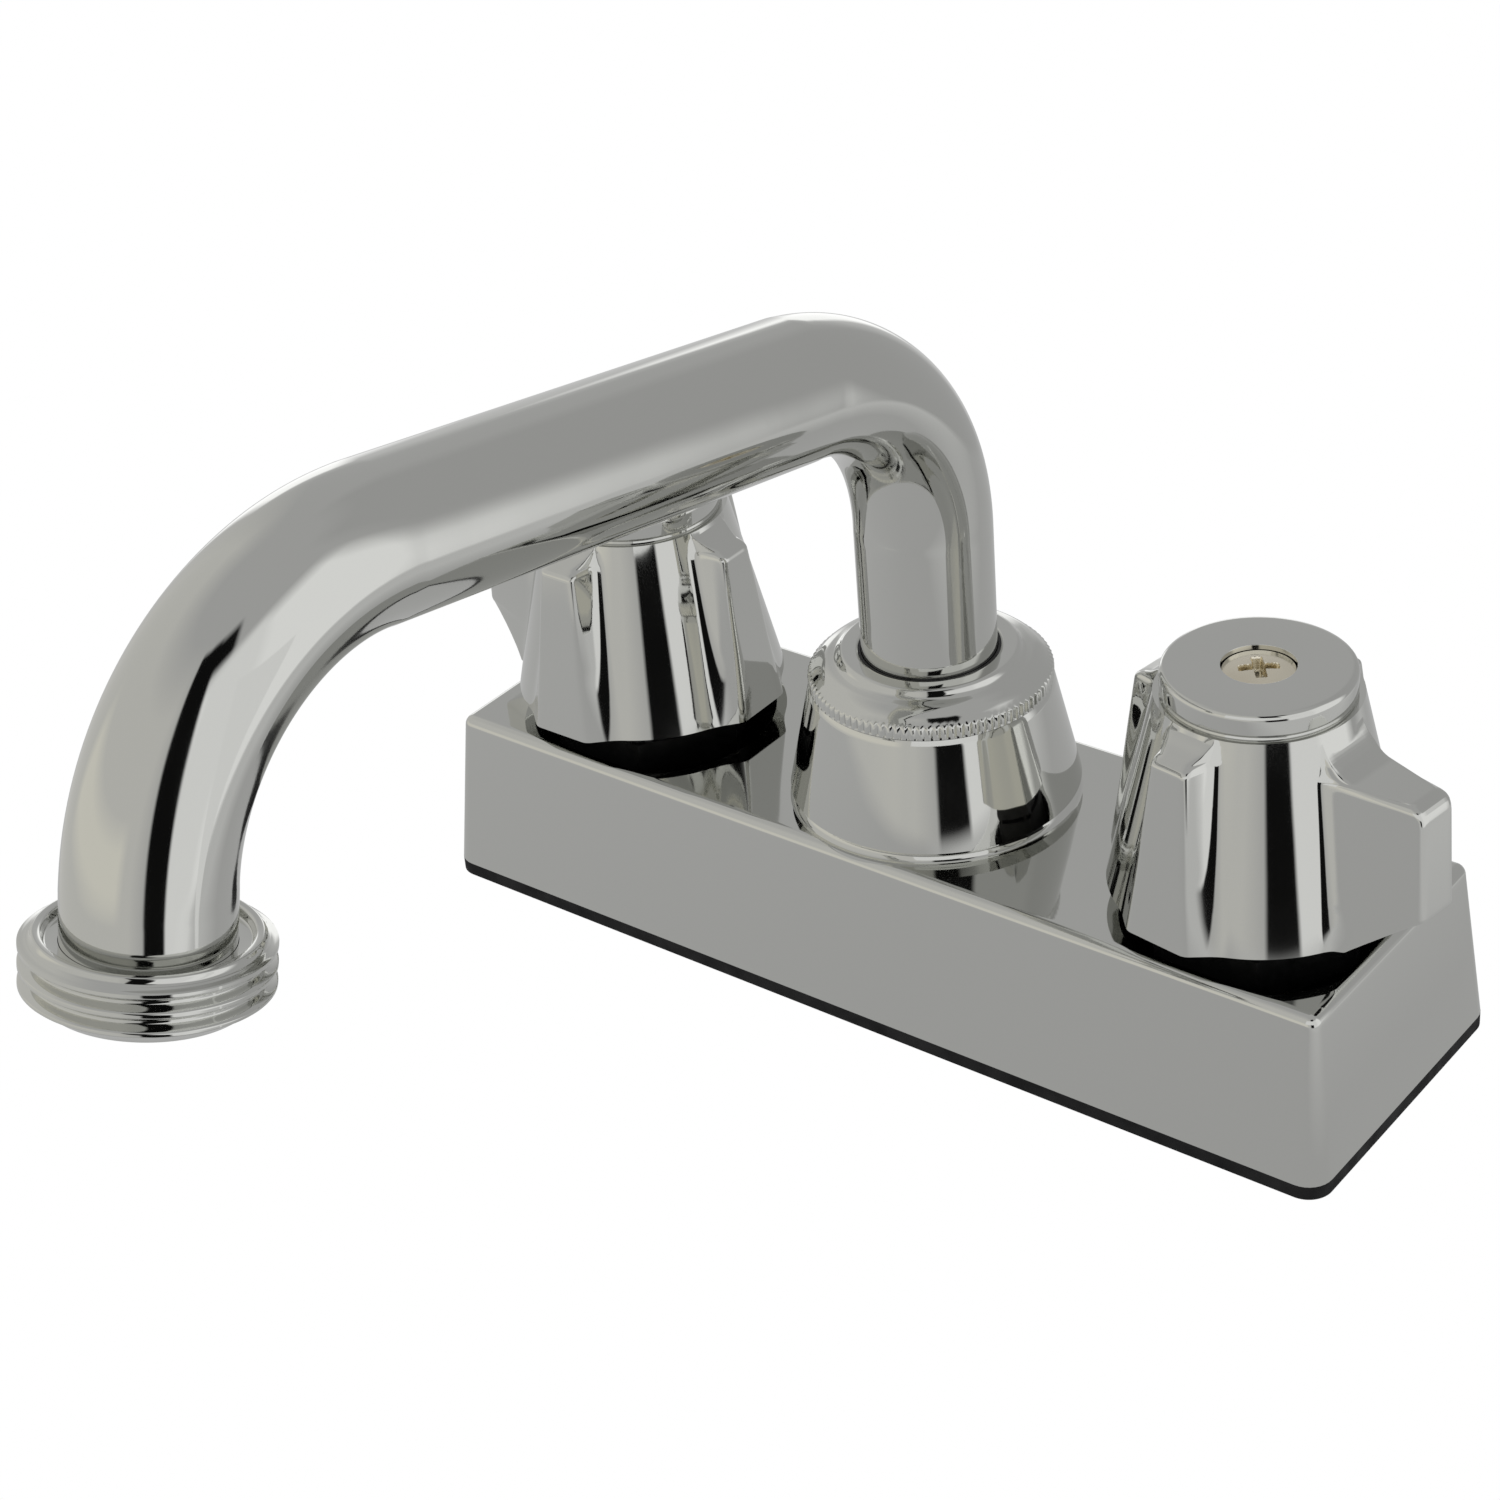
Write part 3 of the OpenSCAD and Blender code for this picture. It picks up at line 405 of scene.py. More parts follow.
# %% The outlet ring
hose_r, thread_depth, hose_pitch = 13.5, 1.1, 2.21
groove_w, groove_depth, lip_in = 1.8, 1.2, 1.4
thread_from, thread_to, first_crest = 0.8, 6.35, 1.45


def ridge(phase):
    """A round crest once per whole phase: a raised cosine with its foot cut off."""
    return np.clip(0.5 + 0.62 * np.cos(TURN * phase), 0, 1) ** 0.85


def outlet_ring(angles):
    """Rows of (radius, depth) round the ring, with the thread's ridge added to the outer rows."""
    wall_in = tube_r + 0.05
    lip = hose_r - lip_in
    top = rounded([[wall_in, groove_depth], [wall_in + groove_w - 0.35, groove_depth],
                   [wall_in + groove_w - 0.05, 0.1], [lip - 0.1, 0.0], [lip + 0.05, 0.45],
                   [lip + 0.25, 0.75]], [0, 0.25, 0.3, 0.25, 0.2, 0], 5)
    depth = np.linspace(thread_from, thread_to, 64)[:, None]
    bottom = rounded([[hose_r - 1.2, 6.45], [hose_r - 2.4, ring_h], [tube_r - tube_wall, ring_h],
                      [tube_r - tube_wall, ring_h - lip_back], [wall_in, ring_h - lip_back]],
                     [0, 0.3, 0.15, 0.05, 0], 4)
    phase = (depth - first_crest) / hose_pitch
    grow = np.clip((6.9 - depth) / 0.9, 0, 1) * np.clip((depth - 0.6) / 0.6, 0, 1)
    radius = hose_r - thread_depth + thread_depth * ridge(phase + 0 * angles) * grow
    upper, lower = ([np.broadcast_to(p[:, i, None], (len(p), len(angles))) for i in (0, 1)]
                    for p in (top, bottom))
    return (np.concatenate([upper[0], radius, lower[0]]),
            np.concatenate([upper[1], np.broadcast_to(depth, radius.shape), lower[1]]))


# %% Set the ring on the tube's end
ring_top = line[-3]
angles = around(168)
ring_r, ring_depth = outlet_ring(angles)
across = ring_r * np.cos(angles)
ring_u = ring_top[0] + ring_depth * math.cos(drop_angle) + across * math.sin(drop_angle)
ring_z = ring_top[1] - ring_depth * math.sin(drop_angle) + across * math.cos(drop_angle)
ring_points = in_spout_frame(ring_u, ring_r * np.sin(angles), ring_z)
skin("hose_thread_surface", [(ring_points, True, True)], "spout",
     ["hose_thread_outlet"], 50)

# %% [markdown]
# ## The body casting
# The body is cast in zinc: a long box whose walls lean in, with small rounded edges, and a cone in
# the middle. A cube with a bevel would come near, but its holes and its leaning corners would need
# repair. Here the outline runs once round the box, row by row from the foot to the flat top. The
# top is three tiles, each a polar grid from its round hole to its straight border.

# %% The tiles of the flat top
gasket_t, top_z, wall = 2.0, 26.1, 2.2
foot_half, top_half = (73.5, 23.55), (71.0, 20.65)
corner_r, edge_r, wall_lean = 3.5, 1.6, math.radians(7)
hand_x, tile_x = 50.8, 25.4
side_steps, corner_steps = 12, 7


def border(x_low, x_high, y_half):
    """Points once round a tile's border, side_steps on each side: +x side, +y, -x, -y."""
    t = np.arange(side_steps) / side_steps
    y = y_half * (2 * t - 1)
    x = x_low + (x_high - x_low) * t
    sides = [(x_high + 0 * t, y), (x[::-1] + (x_high - x_low) / side_steps, y_half + 0 * t),
             (x_low + 0 * t, -y), (x, -y_half + 0 * t)]
    return np.concatenate([np.stack(s, -1) for s in sides])


def tile(x_low, x_high, y_half, centre, hole_r, inner_border):
    """One tile of the top: rows from the border to the hole's edge, down the hole and back out to
    the border underneath. Each row mixes the border with the hole's circle."""
    edge = border(x_low, x_high, y_half)
    angle = np.arctan2(edge[:, 1] / y_half, (edge[:, 0] - centre) / np.where(
        edge[:, 0] > centre, x_high - centre, centre - x_low))
    circle = np.stack([centre + hole_r * np.cos(angle), hole_r * np.sin(angle)], -1)
    share = np.array([0, 0.02, 0.5, 0.97, 1])[:, None, None]
    out = edge + (circle - edge) * share
    back_out = circle + (border(*inner_border) - circle) * share
    rows = np.concatenate([out, back_out])
    z = np.repeat([top_z, top_z - wall], len(share))[:, None, None]
    return np.concatenate([rows, np.broadcast_to(z, (*rows.shape[:2], 1))], -1)


# %% The outline and the walls
def around_box(x_cuts):
    """Once round the box, counter-clockwise from the middle of the +x end: for each column its
    place on the inner rectangle, as shares of the half sizes, and its outward direction."""
    t = np.arange(side_steps + 1) / side_steps
    ends = 2 * t - 1
    long = np.concatenate([np.linspace(a, b, side_steps + 1)[1 if i else 0:]
                           for i, (a, b) in enumerate(zip(x_cuts[:-1], x_cuts[1:]))])
    turn = np.linspace(0, np.pi / 2, corner_steps + 2)[1:-1]
    place, heading = [], []
    sides = [(1 + 0 * ends, ends, 0), (-long, 1 + 0 * long, 1), (-1 + 0 * ends, -ends, 2),
             (long, -1 + 0 * long, 3)]
    for x, y, quarter in sides:
        place += [np.stack([x, y], -1), np.repeat([[x[-1], y[-1]]], corner_steps, 0)]
        heading += [np.full(len(x), quarter * np.pi / 2), quarter * np.pi / 2 + turn]
    heading = np.concatenate(heading)
    return np.concatenate(place), np.stack([np.cos(heading), np.sin(heading)], -1)


def box_walls(inset, z_top, shares, headings):
    """The four walls as one grid: rows from the gasket up, round the edge, to the flat top's
    border. A row is its inner rectangle plus its corner radius times the outward direction."""
    flat = np.array(top_half) - edge_r - inset
    foot = np.array(foot_half) - corner_r - inset
    bend = np.linspace(wall_lean, math.pi / 2, 9)
    rise = np.array([0, 0.03, 0.5, 0.97])[:, None, None]
    start = shares * foot + corner_r * headings
    turn_in = shares * flat + edge_r * math.cos(wall_lean) * headings
    wall_rows = start + (turn_in - start) * rise
    edge_rows = shares * flat + edge_r * np.cos(bend)[:, None, None] * headings
    low = z_top - edge_r + edge_r * math.sin(wall_lean)
    z = np.r_[gasket_t + (low - gasket_t) * rise.ravel(), z_top - edge_r + edge_r * np.sin(bend)]
    rows = np.concatenate([wall_rows, edge_rows])
    return np.concatenate([rows, np.broadcast_to(z[:, None, None], (*rows.shape[:2], 1))], -1)


# %% The block with its hollow
flat = (top_half[0] - edge_r, top_half[1] - edge_r)
inner = (flat[0] - wall, flat[1] - wall)
cuts = np.array([-1, -tile_x / flat[0], tile_x / flat[0], 1])
inner_cut = tile_x * inner[0] / flat[0]
shares, headings = around_box(cuts)
outer_walls = box_walls(0, top_z, shares, headings)
inner_walls = box_walls(wall, top_z - wall, shares, headings)
walls = np.concatenate([inner_walls[::-1], outer_walls])
neck_hole, cone_hole = 11.0, 17.25
tiles = [tile(-flat[0], -tile_x, flat[1], -hand_x, neck_hole, (-inner[0], -inner_cut, inner[1])),
         tile(-tile_x, tile_x, flat[1], 0, cone_hole - 1.5, (-inner_cut, inner_cut, inner[1])),
         tile(tile_x, flat[0], flat[1], hand_x, neck_hole, (inner_cut, inner[0], inner[1]))]
print("walls of", walls.shape[0], "rows and", walls.shape[1], "columns, and", len(tiles), "tiles")

# %% The cone and the whole casting
turret_top, turret_r, foot_r, fillet = 43.7, 16.8, 20.65, 1.2
root_r, root_z, skirt_bore, skirt_foot = 20.2, 24.4, 14.48, 38.7
cone_lean = (foot_r - turret_r) / (turret_top - top_z)
sweep = np.radians(np.arange(0, 76, 15))
foot_curve = np.stack([foot_r - fillet * cone_lean - fillet * np.sin(sweep),
                       top_z + fillet * (1 - np.cos(sweep))], -1)
down = np.array([15.6, 15.0, 1.0, 0.5])  # rows near both ends keep the wall's shading even
wall_rows = np.stack([turret_r + cone_lean * down, turret_top - down], -1)
cone_profile = np.concatenate([
    [[cone_hole, root_z], [root_r, root_z]], foot_curve, wall_rows,
    [[turret_r - 0.15, turret_top], [skirt_bore, turret_top], [skirt_bore, skirt_foot],
     [cone_hole, top_z - 0.1]]])
cone = spin(cone_profile, around(160))
body = skin("body_surface",
            [(walls, False, True)] + [(t, False, True) for t in tiles] + [(cone, True, True)],
            "faucet_body", ["body_shell"], 30)

# %% [markdown]
# ## The spout nut
# The nut holds the spout down and is tightened by hand, so its rim is serrated. The serrations are
# fine upright cuts. They are a wave in the radius that lives only on the rim's rows, so the
# shoulder above stays smooth. The shoulder is a low dome that sinks a little before it meets the
# raised collar round the tube.

# %% Nut profile and serrations
rim_r, rim_top, nut_top = turret_r, 45.9, 48.9
nut_bore, skirt_r_out, lip_r = 13.13, 14.43, 9.75
teeth, tooth_depth = 96, 0.3


def nut_points(angles):
    """Rows of (radius, height) turned about the axis, less a sawtooth on the rim's rows: twice the
    distance of (angle times teeth over a whole turn) from the nearest whole number."""
    skirt = [[nut_bore, skirt_foot], [skirt_r_out, skirt_foot], [skirt_r_out, turret_top - 0.05],
             [rim_r - 0.35, turret_top - 0.02], [rim_r - 0.05, turret_top + 0.12]]
    rim = [[rim_r, turret_top + 0.3], [rim_r, rim_top - 0.55], [rim_r - 0.28, rim_top - 0.2]]
    dome = [[16.15, rim_top], [15.75, rim_top + 0.5], [15.1, rim_top + 1.05],
            [14.45, rim_top + 1.45], [13.8, rim_top + 1.7], [13.2, rim_top + 1.82]]
    collar = [[12.8, rim_top + 2.0], [12.5, rim_top + 2.35], [12.3, nut_top - 0.25],
              [12.0, nut_top - 0.03], [11.6, nut_top], [lip_r + 0.5, nut_top],
              [lip_r + 0.2, nut_top - 0.06], [lip_r + 0.03, nut_top - 0.2], [lip_r, nut_top - 0.4]]
    inside = [[lip_r, 46.1], [nut_bore, 46.05]]
    cut = [0] * len(skirt) + [1, 1, 0.3] + [0] * len(dome + collar + inside)
    points = spin(skirt + rim + dome + collar + inside, angles)
    saw = np.abs((angles * teeth / TURN + 0.5) % 1 - 0.5) * 2
    inward = tooth_depth * saw[None, :] * np.array(cut, float)[:, None]
    points[..., 0] -= inward * np.cos(angles)
    points[..., 1] -= inward * np.sin(angles)
    return points


skin("spout_nut_surface", [(nut_points(around(teeth * 4)), True, True)], "faucet_body",
     ["spout_nut"], 35)

# %% [markdown]
# ## The canopy handles
# Each handle is one hollow casting: a round cap, a cone below it, one long lever and three short
# ribs. Its outline at any height is four lobes joined by arcs of the cone. A lobe has a flat end,
# two crisp corners, two flat sides and a hollow where it meets the cone. The outlines of all
# heights stacked up make the skin, and the rows carry on over the cap, down the screw's recess,
# through the square socket and back out under the canopy, so the handle is one closed grid.

# %% Handle sizes
cap_z, cap_r, band_h, rim_z, skirt_r, neck_r = 60.9, 12.5, 3.6, 29.4, 19.5, 13.3
band_z = cap_z - band_h
lever_reach, lever_lean, lever_w, lever_lift = 28.1, 0.8, 6.4, 6.0
lever_top, lever_root = cap_z - 9.5, cap_z - 9.0
rib_top, rib_reach_top, rib_reach_rim, rib_w_top, rib_w_rim = cap_z - 6.5, 18.1, 20.8, 4.6, 9.2
lever_root_angles, rib_root_angles = (24.5, 18), (24, 15)  # at the rim and at the band
handle_wall, roof_z, post_r, post_foot = 1.6, 55.0, 6.5, 43.0
socket_half, screw_hole_r = 3.15, 2.2
head_z, head_r = 58.0, 4.65


def cone_r(z):
    """The cone's radius falls in a straight line from the rim to the band."""
    return neck_r + (skirt_r - neck_r) * (band_z - z) / (band_z - rim_z)


lever_line = rounded(
    [[rim_z, skirt_r], [rim_z + lever_lift, lever_reach], [lever_top, lever_reach - lever_lean],
     [lever_root, cone_r(lever_root) + 2.0], [lever_root + 2.4, cone_r(lever_root) - 0.6],
     [band_z, neck_r - 1]], [0, 0.5, 2.4, 1.6, 1.2, 0], 7)
rib_line = rounded(
    [[rim_z, rib_reach_rim], [rib_top - 0.2, rib_reach_top], [rib_top + 1.1, cone_r(rib_top) + 1.3],
     [rib_top + 2.0, cone_r(rib_top)], [band_z, neck_r - 1]], [0, 0.7, 0.6, 0.6, 0], 6)
levels = np.unique(np.round(np.concatenate([
    lever_line[:, 0], rib_line[:, 0], np.linspace(rim_z, band_z, 24), [rim_z + 0.25],
    np.linspace(lever_top - 1, lever_top, 6), np.linspace(rib_top - 1.2, rib_top + 0.4, 7)]), 3))
print("handle outline at", len(levels), "heights")

# %% Helpers for the outline
def narrowed(z, top):
    """How much a lobe's half width draws in near its top, so that its upper edges are round: a
    quarter circle, soft - sqrt(soft^2 - rise^2)."""
    soft = 1.0
    rise = np.clip(z - top + soft, 0, soft)
    return soft - np.sqrt(soft ** 2 - rise ** 2)


def turned(points, c, s):
    """Turns points about the z axis by the angle whose cosine is c and whose sine is s."""
    x, y = points[..., 0], points[..., 1]
    return np.stack([x * c - y * s, x * s + y * c], -1)


def bezier(a, b, c, steps):
    """A short curve from a to c that leans toward b, for all heights at once."""
    t = np.linspace(0, 1, steps)[None, :, None]
    return (1 - t) ** 2 * a[:, None] + 2 * t * (1 - t) * b[:, None] + t ** 2 * c[:, None]


def straight(a, b, steps):
    """Points between a and b, without the two ends."""
    t = np.linspace(0, 1, steps + 2)[None, 1:-1, None]
    return a[:, None] + (b - a)[:, None] * t


# %% Half a lobe
def half_lobe(z, reach, full, width, root):
    """Half a lobe's outline at every height, from the middle of its end face to the arc of cone
    half way to the next lobe. Arrays: reach and full are the end's distance now and at its
    longest, width the half width of the end and root the angle where the side meets the cone."""
    r = cone_r(z)
    foot = np.stack([r * np.cos(root), r * np.sin(root)], -1)
    x = np.maximum(reach, foot[:, 0])
    slope = (foot[:, 1] - width) / np.maximum(full - foot[:, 0], 0.5)
    y = np.minimum(width + np.maximum(full - x, 0) * slope, foot[:, 1] - 0.25)
    corner = np.stack([x, y], -1)
    side = foot - corner
    length = np.linalg.norm(side, axis=1, keepdims=True)
    unit = side / np.maximum(length, 0.2)
    crisp, hollow = np.minimum(0.8, length / 4), np.minimum(2.6, length / 2.6)
    before, after = corner - np.concatenate([0 * crisp, crisp], 1), corner + unit * crisp
    rise = foot - unit * hollow
    run_angle = root + math.radians(5)
    run = np.stack([r * np.cos(run_angle), r * np.sin(run_angle)], -1)
    middle = np.stack([x, 0 * x], -1)
    share = np.linspace(0, 1, 7)[None, 1:]
    sweep = run_angle[:, None] + (math.pi / 4 - run_angle)[:, None] * share
    arc = np.stack([r[:, None] * np.cos(sweep), r[:, None] * np.sin(sweep)], -1)
    half = np.concatenate([middle[:, None], straight(middle, before, 3),
                           bezier(before, corner, after, 6), straight(after, rise, 4),
                           bezier(rise, foot, run, 8), arc], 1)
    distance = np.linalg.norm(half, axis=-1, keepdims=True)
    return half * np.maximum(1, r[:, None, None] / distance)


# %% Four lobes make the outline
def handle_outline(z):
    """The whole outline at every height: the lever on +x, then three ribs, each a half lobe and
    its mirror image turned to its quarter."""
    share = (z - rim_z) / (band_z - rim_z)
    parts = []
    for quarter in range(4):
        lever = quarter == 0
        profile = lever_line if lever else rib_line
        reach = np.interp(z, profile[:, 0], profile[:, 1])
        full = np.maximum(reach, np.interp(rim_z + lever_lift, profile[:, 0], profile[:, 1])
                          + (cone_r(z) - skirt_r) * 0.2)
        width = (lever_w if lever else rib_w_rim + (rib_w_top - rib_w_rim) * share) / 2
        width = width - narrowed(z, lever_top if lever else rib_top + 0.4)
        at_rim, at_band = lever_root_angles if lever else rib_root_angles
        root = np.radians(at_rim + (at_band - at_rim) * share)
        half = half_lobe(z, reach, full, width, root)
        lobe = np.concatenate([(half * [1, -1])[:, ::-1][:, :-1], half[:, :-1]], 1)
        c, s = [(1, 0), (0, 1), (-1, 0), (0, -1)][quarter]
        parts.append(turned(lobe, c, s))
    return np.concatenate(parts, 1)


# %% The whole handle as one closed grid
def handle_points(turn):
    """Rows from the rim up the outside, over the cap, down the recess and the square socket and
    back under the canopy. Round rows keep each column's own angle."""
    outline = handle_outline(levels)
    angle = np.arctan2(outline[-1, :, 1], outline[-1, :, 0])
    square = socket_half / np.maximum(np.abs(np.cos(angle)), np.abs(np.sin(angle)))
    step, recess_r = cap_r - 0.3, head_r + 0.15
    cap = rounded([[step + 0.1, band_z], [step, band_z + 0.35], [cap_r, band_z + 0.6],
                   [cap_r, cap_z], [recess_r, cap_z], [recess_r, head_z],
                   [screw_hole_r, head_z], [screw_hole_r, roof_z]],
                  [0, 0.1, 0.15, 1.0, 0.12, 0.05, 0.05, 0], 7)
    socket = np.stack([np.stack([square * np.cos(angle), square * np.sin(angle), 0 * angle + z], -1)
                       for z in (roof_z - 0.05, post_foot)])
    skirt_in = cone_r(rim_z) - handle_wall
    under = spin([[post_r, post_foot], [post_r, roof_z], [cone_r(roof_z) - handle_wall, roof_z],
                  [skirt_in, rim_z + 0.1], [skirt_in + 0.1, rim_z]], angle)
    z = np.broadcast_to(levels[:, None, None], (*outline.shape[:2], 1))
    points = np.concatenate([np.concatenate([outline, z], -1), spin(cap, angle), socket, under])
    return np.concatenate([turned(points, math.cos(turn), math.sin(turn)), points[..., 2:]], -1)


# %% Both handles
casting_depth = 1.2  # a face this far under the cone's surface belongs to the inside
handles = []
for side, x, turn in (("hot", -hand_x, math.radians(180)), ("cold", hand_x, math.radians(-8))):
    shape = handle_points(turn) + [x, 0, 0]
    handle = skin(side + "_handle_surface", [(shape, True, True)], side + "_handle_and_stem",
                  [side + "_handle"], 32)
    centres = np.array([f.center for f in handle.data.polygons]) / MM - [x, 0, 0]
    depth = cone_r(centres[:, 2]) - np.hypot(centres[:, 0], centres[:, 1])
    # The faces under the canopy take the second slot, coloured nearly black as painted shade.
    inside = depth > casting_depth
    inside &= centres[:, 2] < roof_z + 0.1
    handle.data.polygons.foreach_set("material_index", inside.astype(np.int32))
    handles.append(handle)
    print(side, "handle:", int(inside.sum()), "faces on the inside")

# %% [markdown]
# ## The handle screws
# A cross-slotted screw with a low dome sits in each cap. Its head is a height field: a square grid
# pressed into a disc, whose height is the dome less a cross-shaped pit. The border of the grid
# carries on down the side, under the head and along the shank to a closed point.

# %% Screw head, side and shank
dome_top, dome_drop, pit_depth = 60.6, 0.45, 1.8
slot_half_w, slot_half_l, screw_r, screw_tip = 0.7, 2.6, 2.0, 45.0
cross_turn = math.radians(38)


def cross_slot(p, q):
    """1 inside one slot of the cross, with sloping walls and ends."""
    return (np.clip((slot_half_w - np.abs(p)) / 0.16, 0, 1)
            * np.clip((slot_half_l - np.abs(q)) / 0.5, 0, 1))


def screw_points():
    """The head's grid and the lathe part below it, which share the grid's border points. The
    square (a, b) becomes a disc by x = a sqrt(1 - b^2 / 2), y = b sqrt(1 - a^2 / 2)."""
    a, b = np.meshgrid(np.linspace(-1, 1, 97), np.linspace(-1, 1, 97), indexing="ij")
    x, y = a * np.sqrt(1 - b * b / 2), b * np.sqrt(1 - a * a / 2)
    dome = dome_top - dome_drop * (x * x + y * y)
    c, s = math.cos(cross_turn), math.sin(cross_turn)
    across, along = (x * c + y * s) * head_r, (y * c - x * s) * head_r
    pit = np.maximum(cross_slot(across, along), cross_slot(along, across))
    head = np.stack([x * head_r, y * head_r, dome - pit_depth * pit], -1)
    rim = np.concatenate([head[0, :-1], head[:-1, -1], head[-1, :0:-1], head[:0:-1, 0]])
    heading = rim[:, :2] / np.linalg.norm(rim[:, :2], axis=1, keepdims=True)
    r, z = np.array([[head_r, dome_top - dome_drop], [head_r, 59.9], [head_r, head_z],
                     [screw_r, head_z], [screw_r, 45.6], [0, screw_tip]]).T[:, :, None, None]
    rows = np.concatenate([heading * r, z + 0 * heading[:, :1]], -1)
    rows[0] = rim
    return head, rows


head, shank = screw_points()
for side, x in (("hot", -hand_x), ("cold", hand_x)):
    skin(side + "_screw_surface",
         [(head + [x, 0, 0], False, False), (shank + [x, 0, 0], False, True)],
         side + "_handle_and_stem", [side + "_handle_screw"], 35)

# %% [markdown]
# ## Shanks and nuts
# Below the deck each inlet is a brass shank with a pipe thread, and a flanged nut pulls the faucet
# down. Above, a black nylon nut holds each cartridge under its handle. A thread could be a modelled
# screw modifier, but a wave in the radius of a turned profile is shorter and closes by itself. The
# nuts are turned profiles too, whose radius is the smaller of a hexagon and a round chamfer.

# %% The shank's thread
shank_r, shank_bore_r, shank_pitch, shank_depth = 10.65, 6.0, 1.814, 1.0
shank_foot, shank_head, bite_r = -40.0, 9.0, 10.3
nut_low, nut_high = -21.0, -12.0


def shank_points(angles):
    """Turned profile whose outer radius is the crest less the thread's depth times one minus the
    ridge of the height in pitches less the share of the turn. Inside the nut it stays under the
    nut's bore."""
    z = np.concatenate([np.arange(shank_foot + 0.9, nut_low, 0.19), [nut_low, nut_low + 0.05],
                        np.linspace(nut_low + 1, nut_high - 1, 6), [nut_high - 0.05, nut_high],
                        np.arange(nut_high + 0.15, shank_head - 0.5, 0.19)])
    phase = z[:, None] / shank_pitch - angles[None, :] / TURN
    r = shank_r - shank_depth * (1 - ridge(phase))
    run_in = np.clip((z - shank_foot - 0.9) / 1.6, 0, 1)[:, None]
    root = shank_r - shank_depth
    r = root + (r - root) * run_in
    held = ((z > nut_low + 0.02) & (z < nut_high - 0.02))[:, None]
    r = np.where(held, np.minimum(r, bite_r), r)
    side = np.stack([r * np.cos(angles), r * np.sin(angles), z[:, None] + 0 * r], -1)
    foot = spin([[shank_bore_r + 0.5, shank_foot], [root - 0.5, shank_foot]], angles)
    head = spin([[root - 0.4, shank_head], [shank_bore_r + 0.4, shank_head],
                 [shank_bore_r, shank_head - 0.4], [shank_bore_r, shank_foot + 0.5]], angles)
    return np.concatenate([foot, side, head])


# %% Six-sided nuts
def nut_rows(rows, across_flats, angles):
    """Rows of (radius, height, six-sided or not). A six-sided row's radius is the smaller of its
    own and the hexagon's: half the width across flats over the cosine of the angle to the flat."""
    hexagon = across_flats / 2 / np.cos(angles % (TURN / 6) - TURN / 12)
    out = []
    for r, z, six in rows:
        radius = np.minimum(r, hexagon) if six else r + 0 * angles
        out.append(np.stack([radius * np.cos(angles), radius * np.sin(angles), z + 0 * angles], -1))
    return np.stack(out)


nut_bore_r = bite_r + 0.05
mount_flats, bonnet_flats = 30.0, 26.4
flange_z, bonnet_top, stem_hole_r = -14.0, 32.9, 6.8
mount_rows = [(nut_bore_r + 0.6, nut_low, False), (14.6, nut_low, False),
              (14.9, nut_low + 0.1, True), (16.6, nut_low + 1.0, True),
              (17.4, nut_low + 1.6, True), (17.4, flange_z - 0.3, True),
              (17.45, flange_z - 0.05, True), (18.6, flange_z, False),
              (19.0, flange_z + 0.3, False), (19.0, nut_high - 0.3, False),
              (18.7, nut_high, False), (nut_bore_r + 0.5, nut_high, False),
              (nut_bore_r, nut_high - 0.5, False), (nut_bore_r, nut_low + 0.6, False)]
bonnet_rows = [(neck_hole, top_z, False), (14.6, top_z, False), (15.24, top_z + 0.3, True),
               (15.24, bonnet_top - 1.3, True), (14.7, bonnet_top - 0.6, True),
               (13.0, bonnet_top - 0.05, True), (12.6, bonnet_top, False),
               (stem_hole_r + 0.4, bonnet_top, False), (stem_hole_r, bonnet_top - 0.4, False),
               (stem_hole_r, bonnet_top - 1.8, False), (neck_hole, bonnet_top - 1.8, False)]
print("nuts", mount_flats, "and", bonnet_flats, "mm across flats")

# %% Shanks and nuts on both sides
turns = around(96)
for side, x in (("hot", -hand_x), ("cold", hand_x)):
    for piece_name, points, slot_name in (
            ("inlet_shank", shank_points(turns), "brass"),
            ("mounting_nut", nut_rows(mount_rows, mount_flats, turns), "brass"),
            ("bonnet_nut", nut_rows(bonnet_rows, bonnet_flats, turns), "black_nylon")):
        skin(side + "_" + piece_name + "_surface", [(points + [x, 0, 0], True, True)],
             "faucet_body", [side + "_" + piece_name], 28)

# %% [markdown]
# ## The other finishes
# Brass that is turned and left bare has fine rings from the tool and darkens in clouds where it was
# touched. Nickel is a warmer mirror than chrome. Moulded rubber and nylon are nearly black with a
# fine grain, and ceramic is off-white and smooth. The inside of a casting has the dull, rough skin
# of its mould, but its colour is painted nearly black: painted shade for the dark in the hollows.
# Each finish is one shader whose colour, roughness and bump follow noises in the piece's own
# coordinates, so nothing slides when a piece turns.

# %% Helpers for mixed colours and turned lines
def two_colours(shader_tree, shader, share, first, second):
    """The base colour runs from the first to the second as the share goes from 0 to 1."""
    mix = node(shader_tree, "ShaderNodeMix", data_type="RGBA")
    shader_tree.links.new(share, mix.inputs[0])
    mix.inputs[6].default_value = (*first, 1)
    mix.inputs[7].default_value = (*second, 1)
    shader_tree.links.new(mix.outputs[2], shader.inputs["Base Color"])


def bare_metal(name, bright, tarnished, low, high, line_depth):
    """Turned metal: cloudy colour and roughness, and rings from a noise squeezed along z."""
    material, shader_tree, shader, place = finish(name, bright, 1.0, low)
    stain = clouds(shader_tree, place, 130, 0, 1, 4.0)
    two_colours(shader_tree, shader, stain, bright, tarnished)
    rough = clouds(shader_tree, place, 320, low, high, 3.0)
    shader_tree.links.new(rough, shader.inputs["Roughness"])
    squeezed = node(shader_tree, "ShaderNodeMapping", {"Vector": place}, Scale=(1, 1, 60))
    lines = clouds(shader_tree, squeezed.outputs[0], 90, 0, 1, 2.0)
    waves(shader_tree, shader, lines, line_depth)
    return material


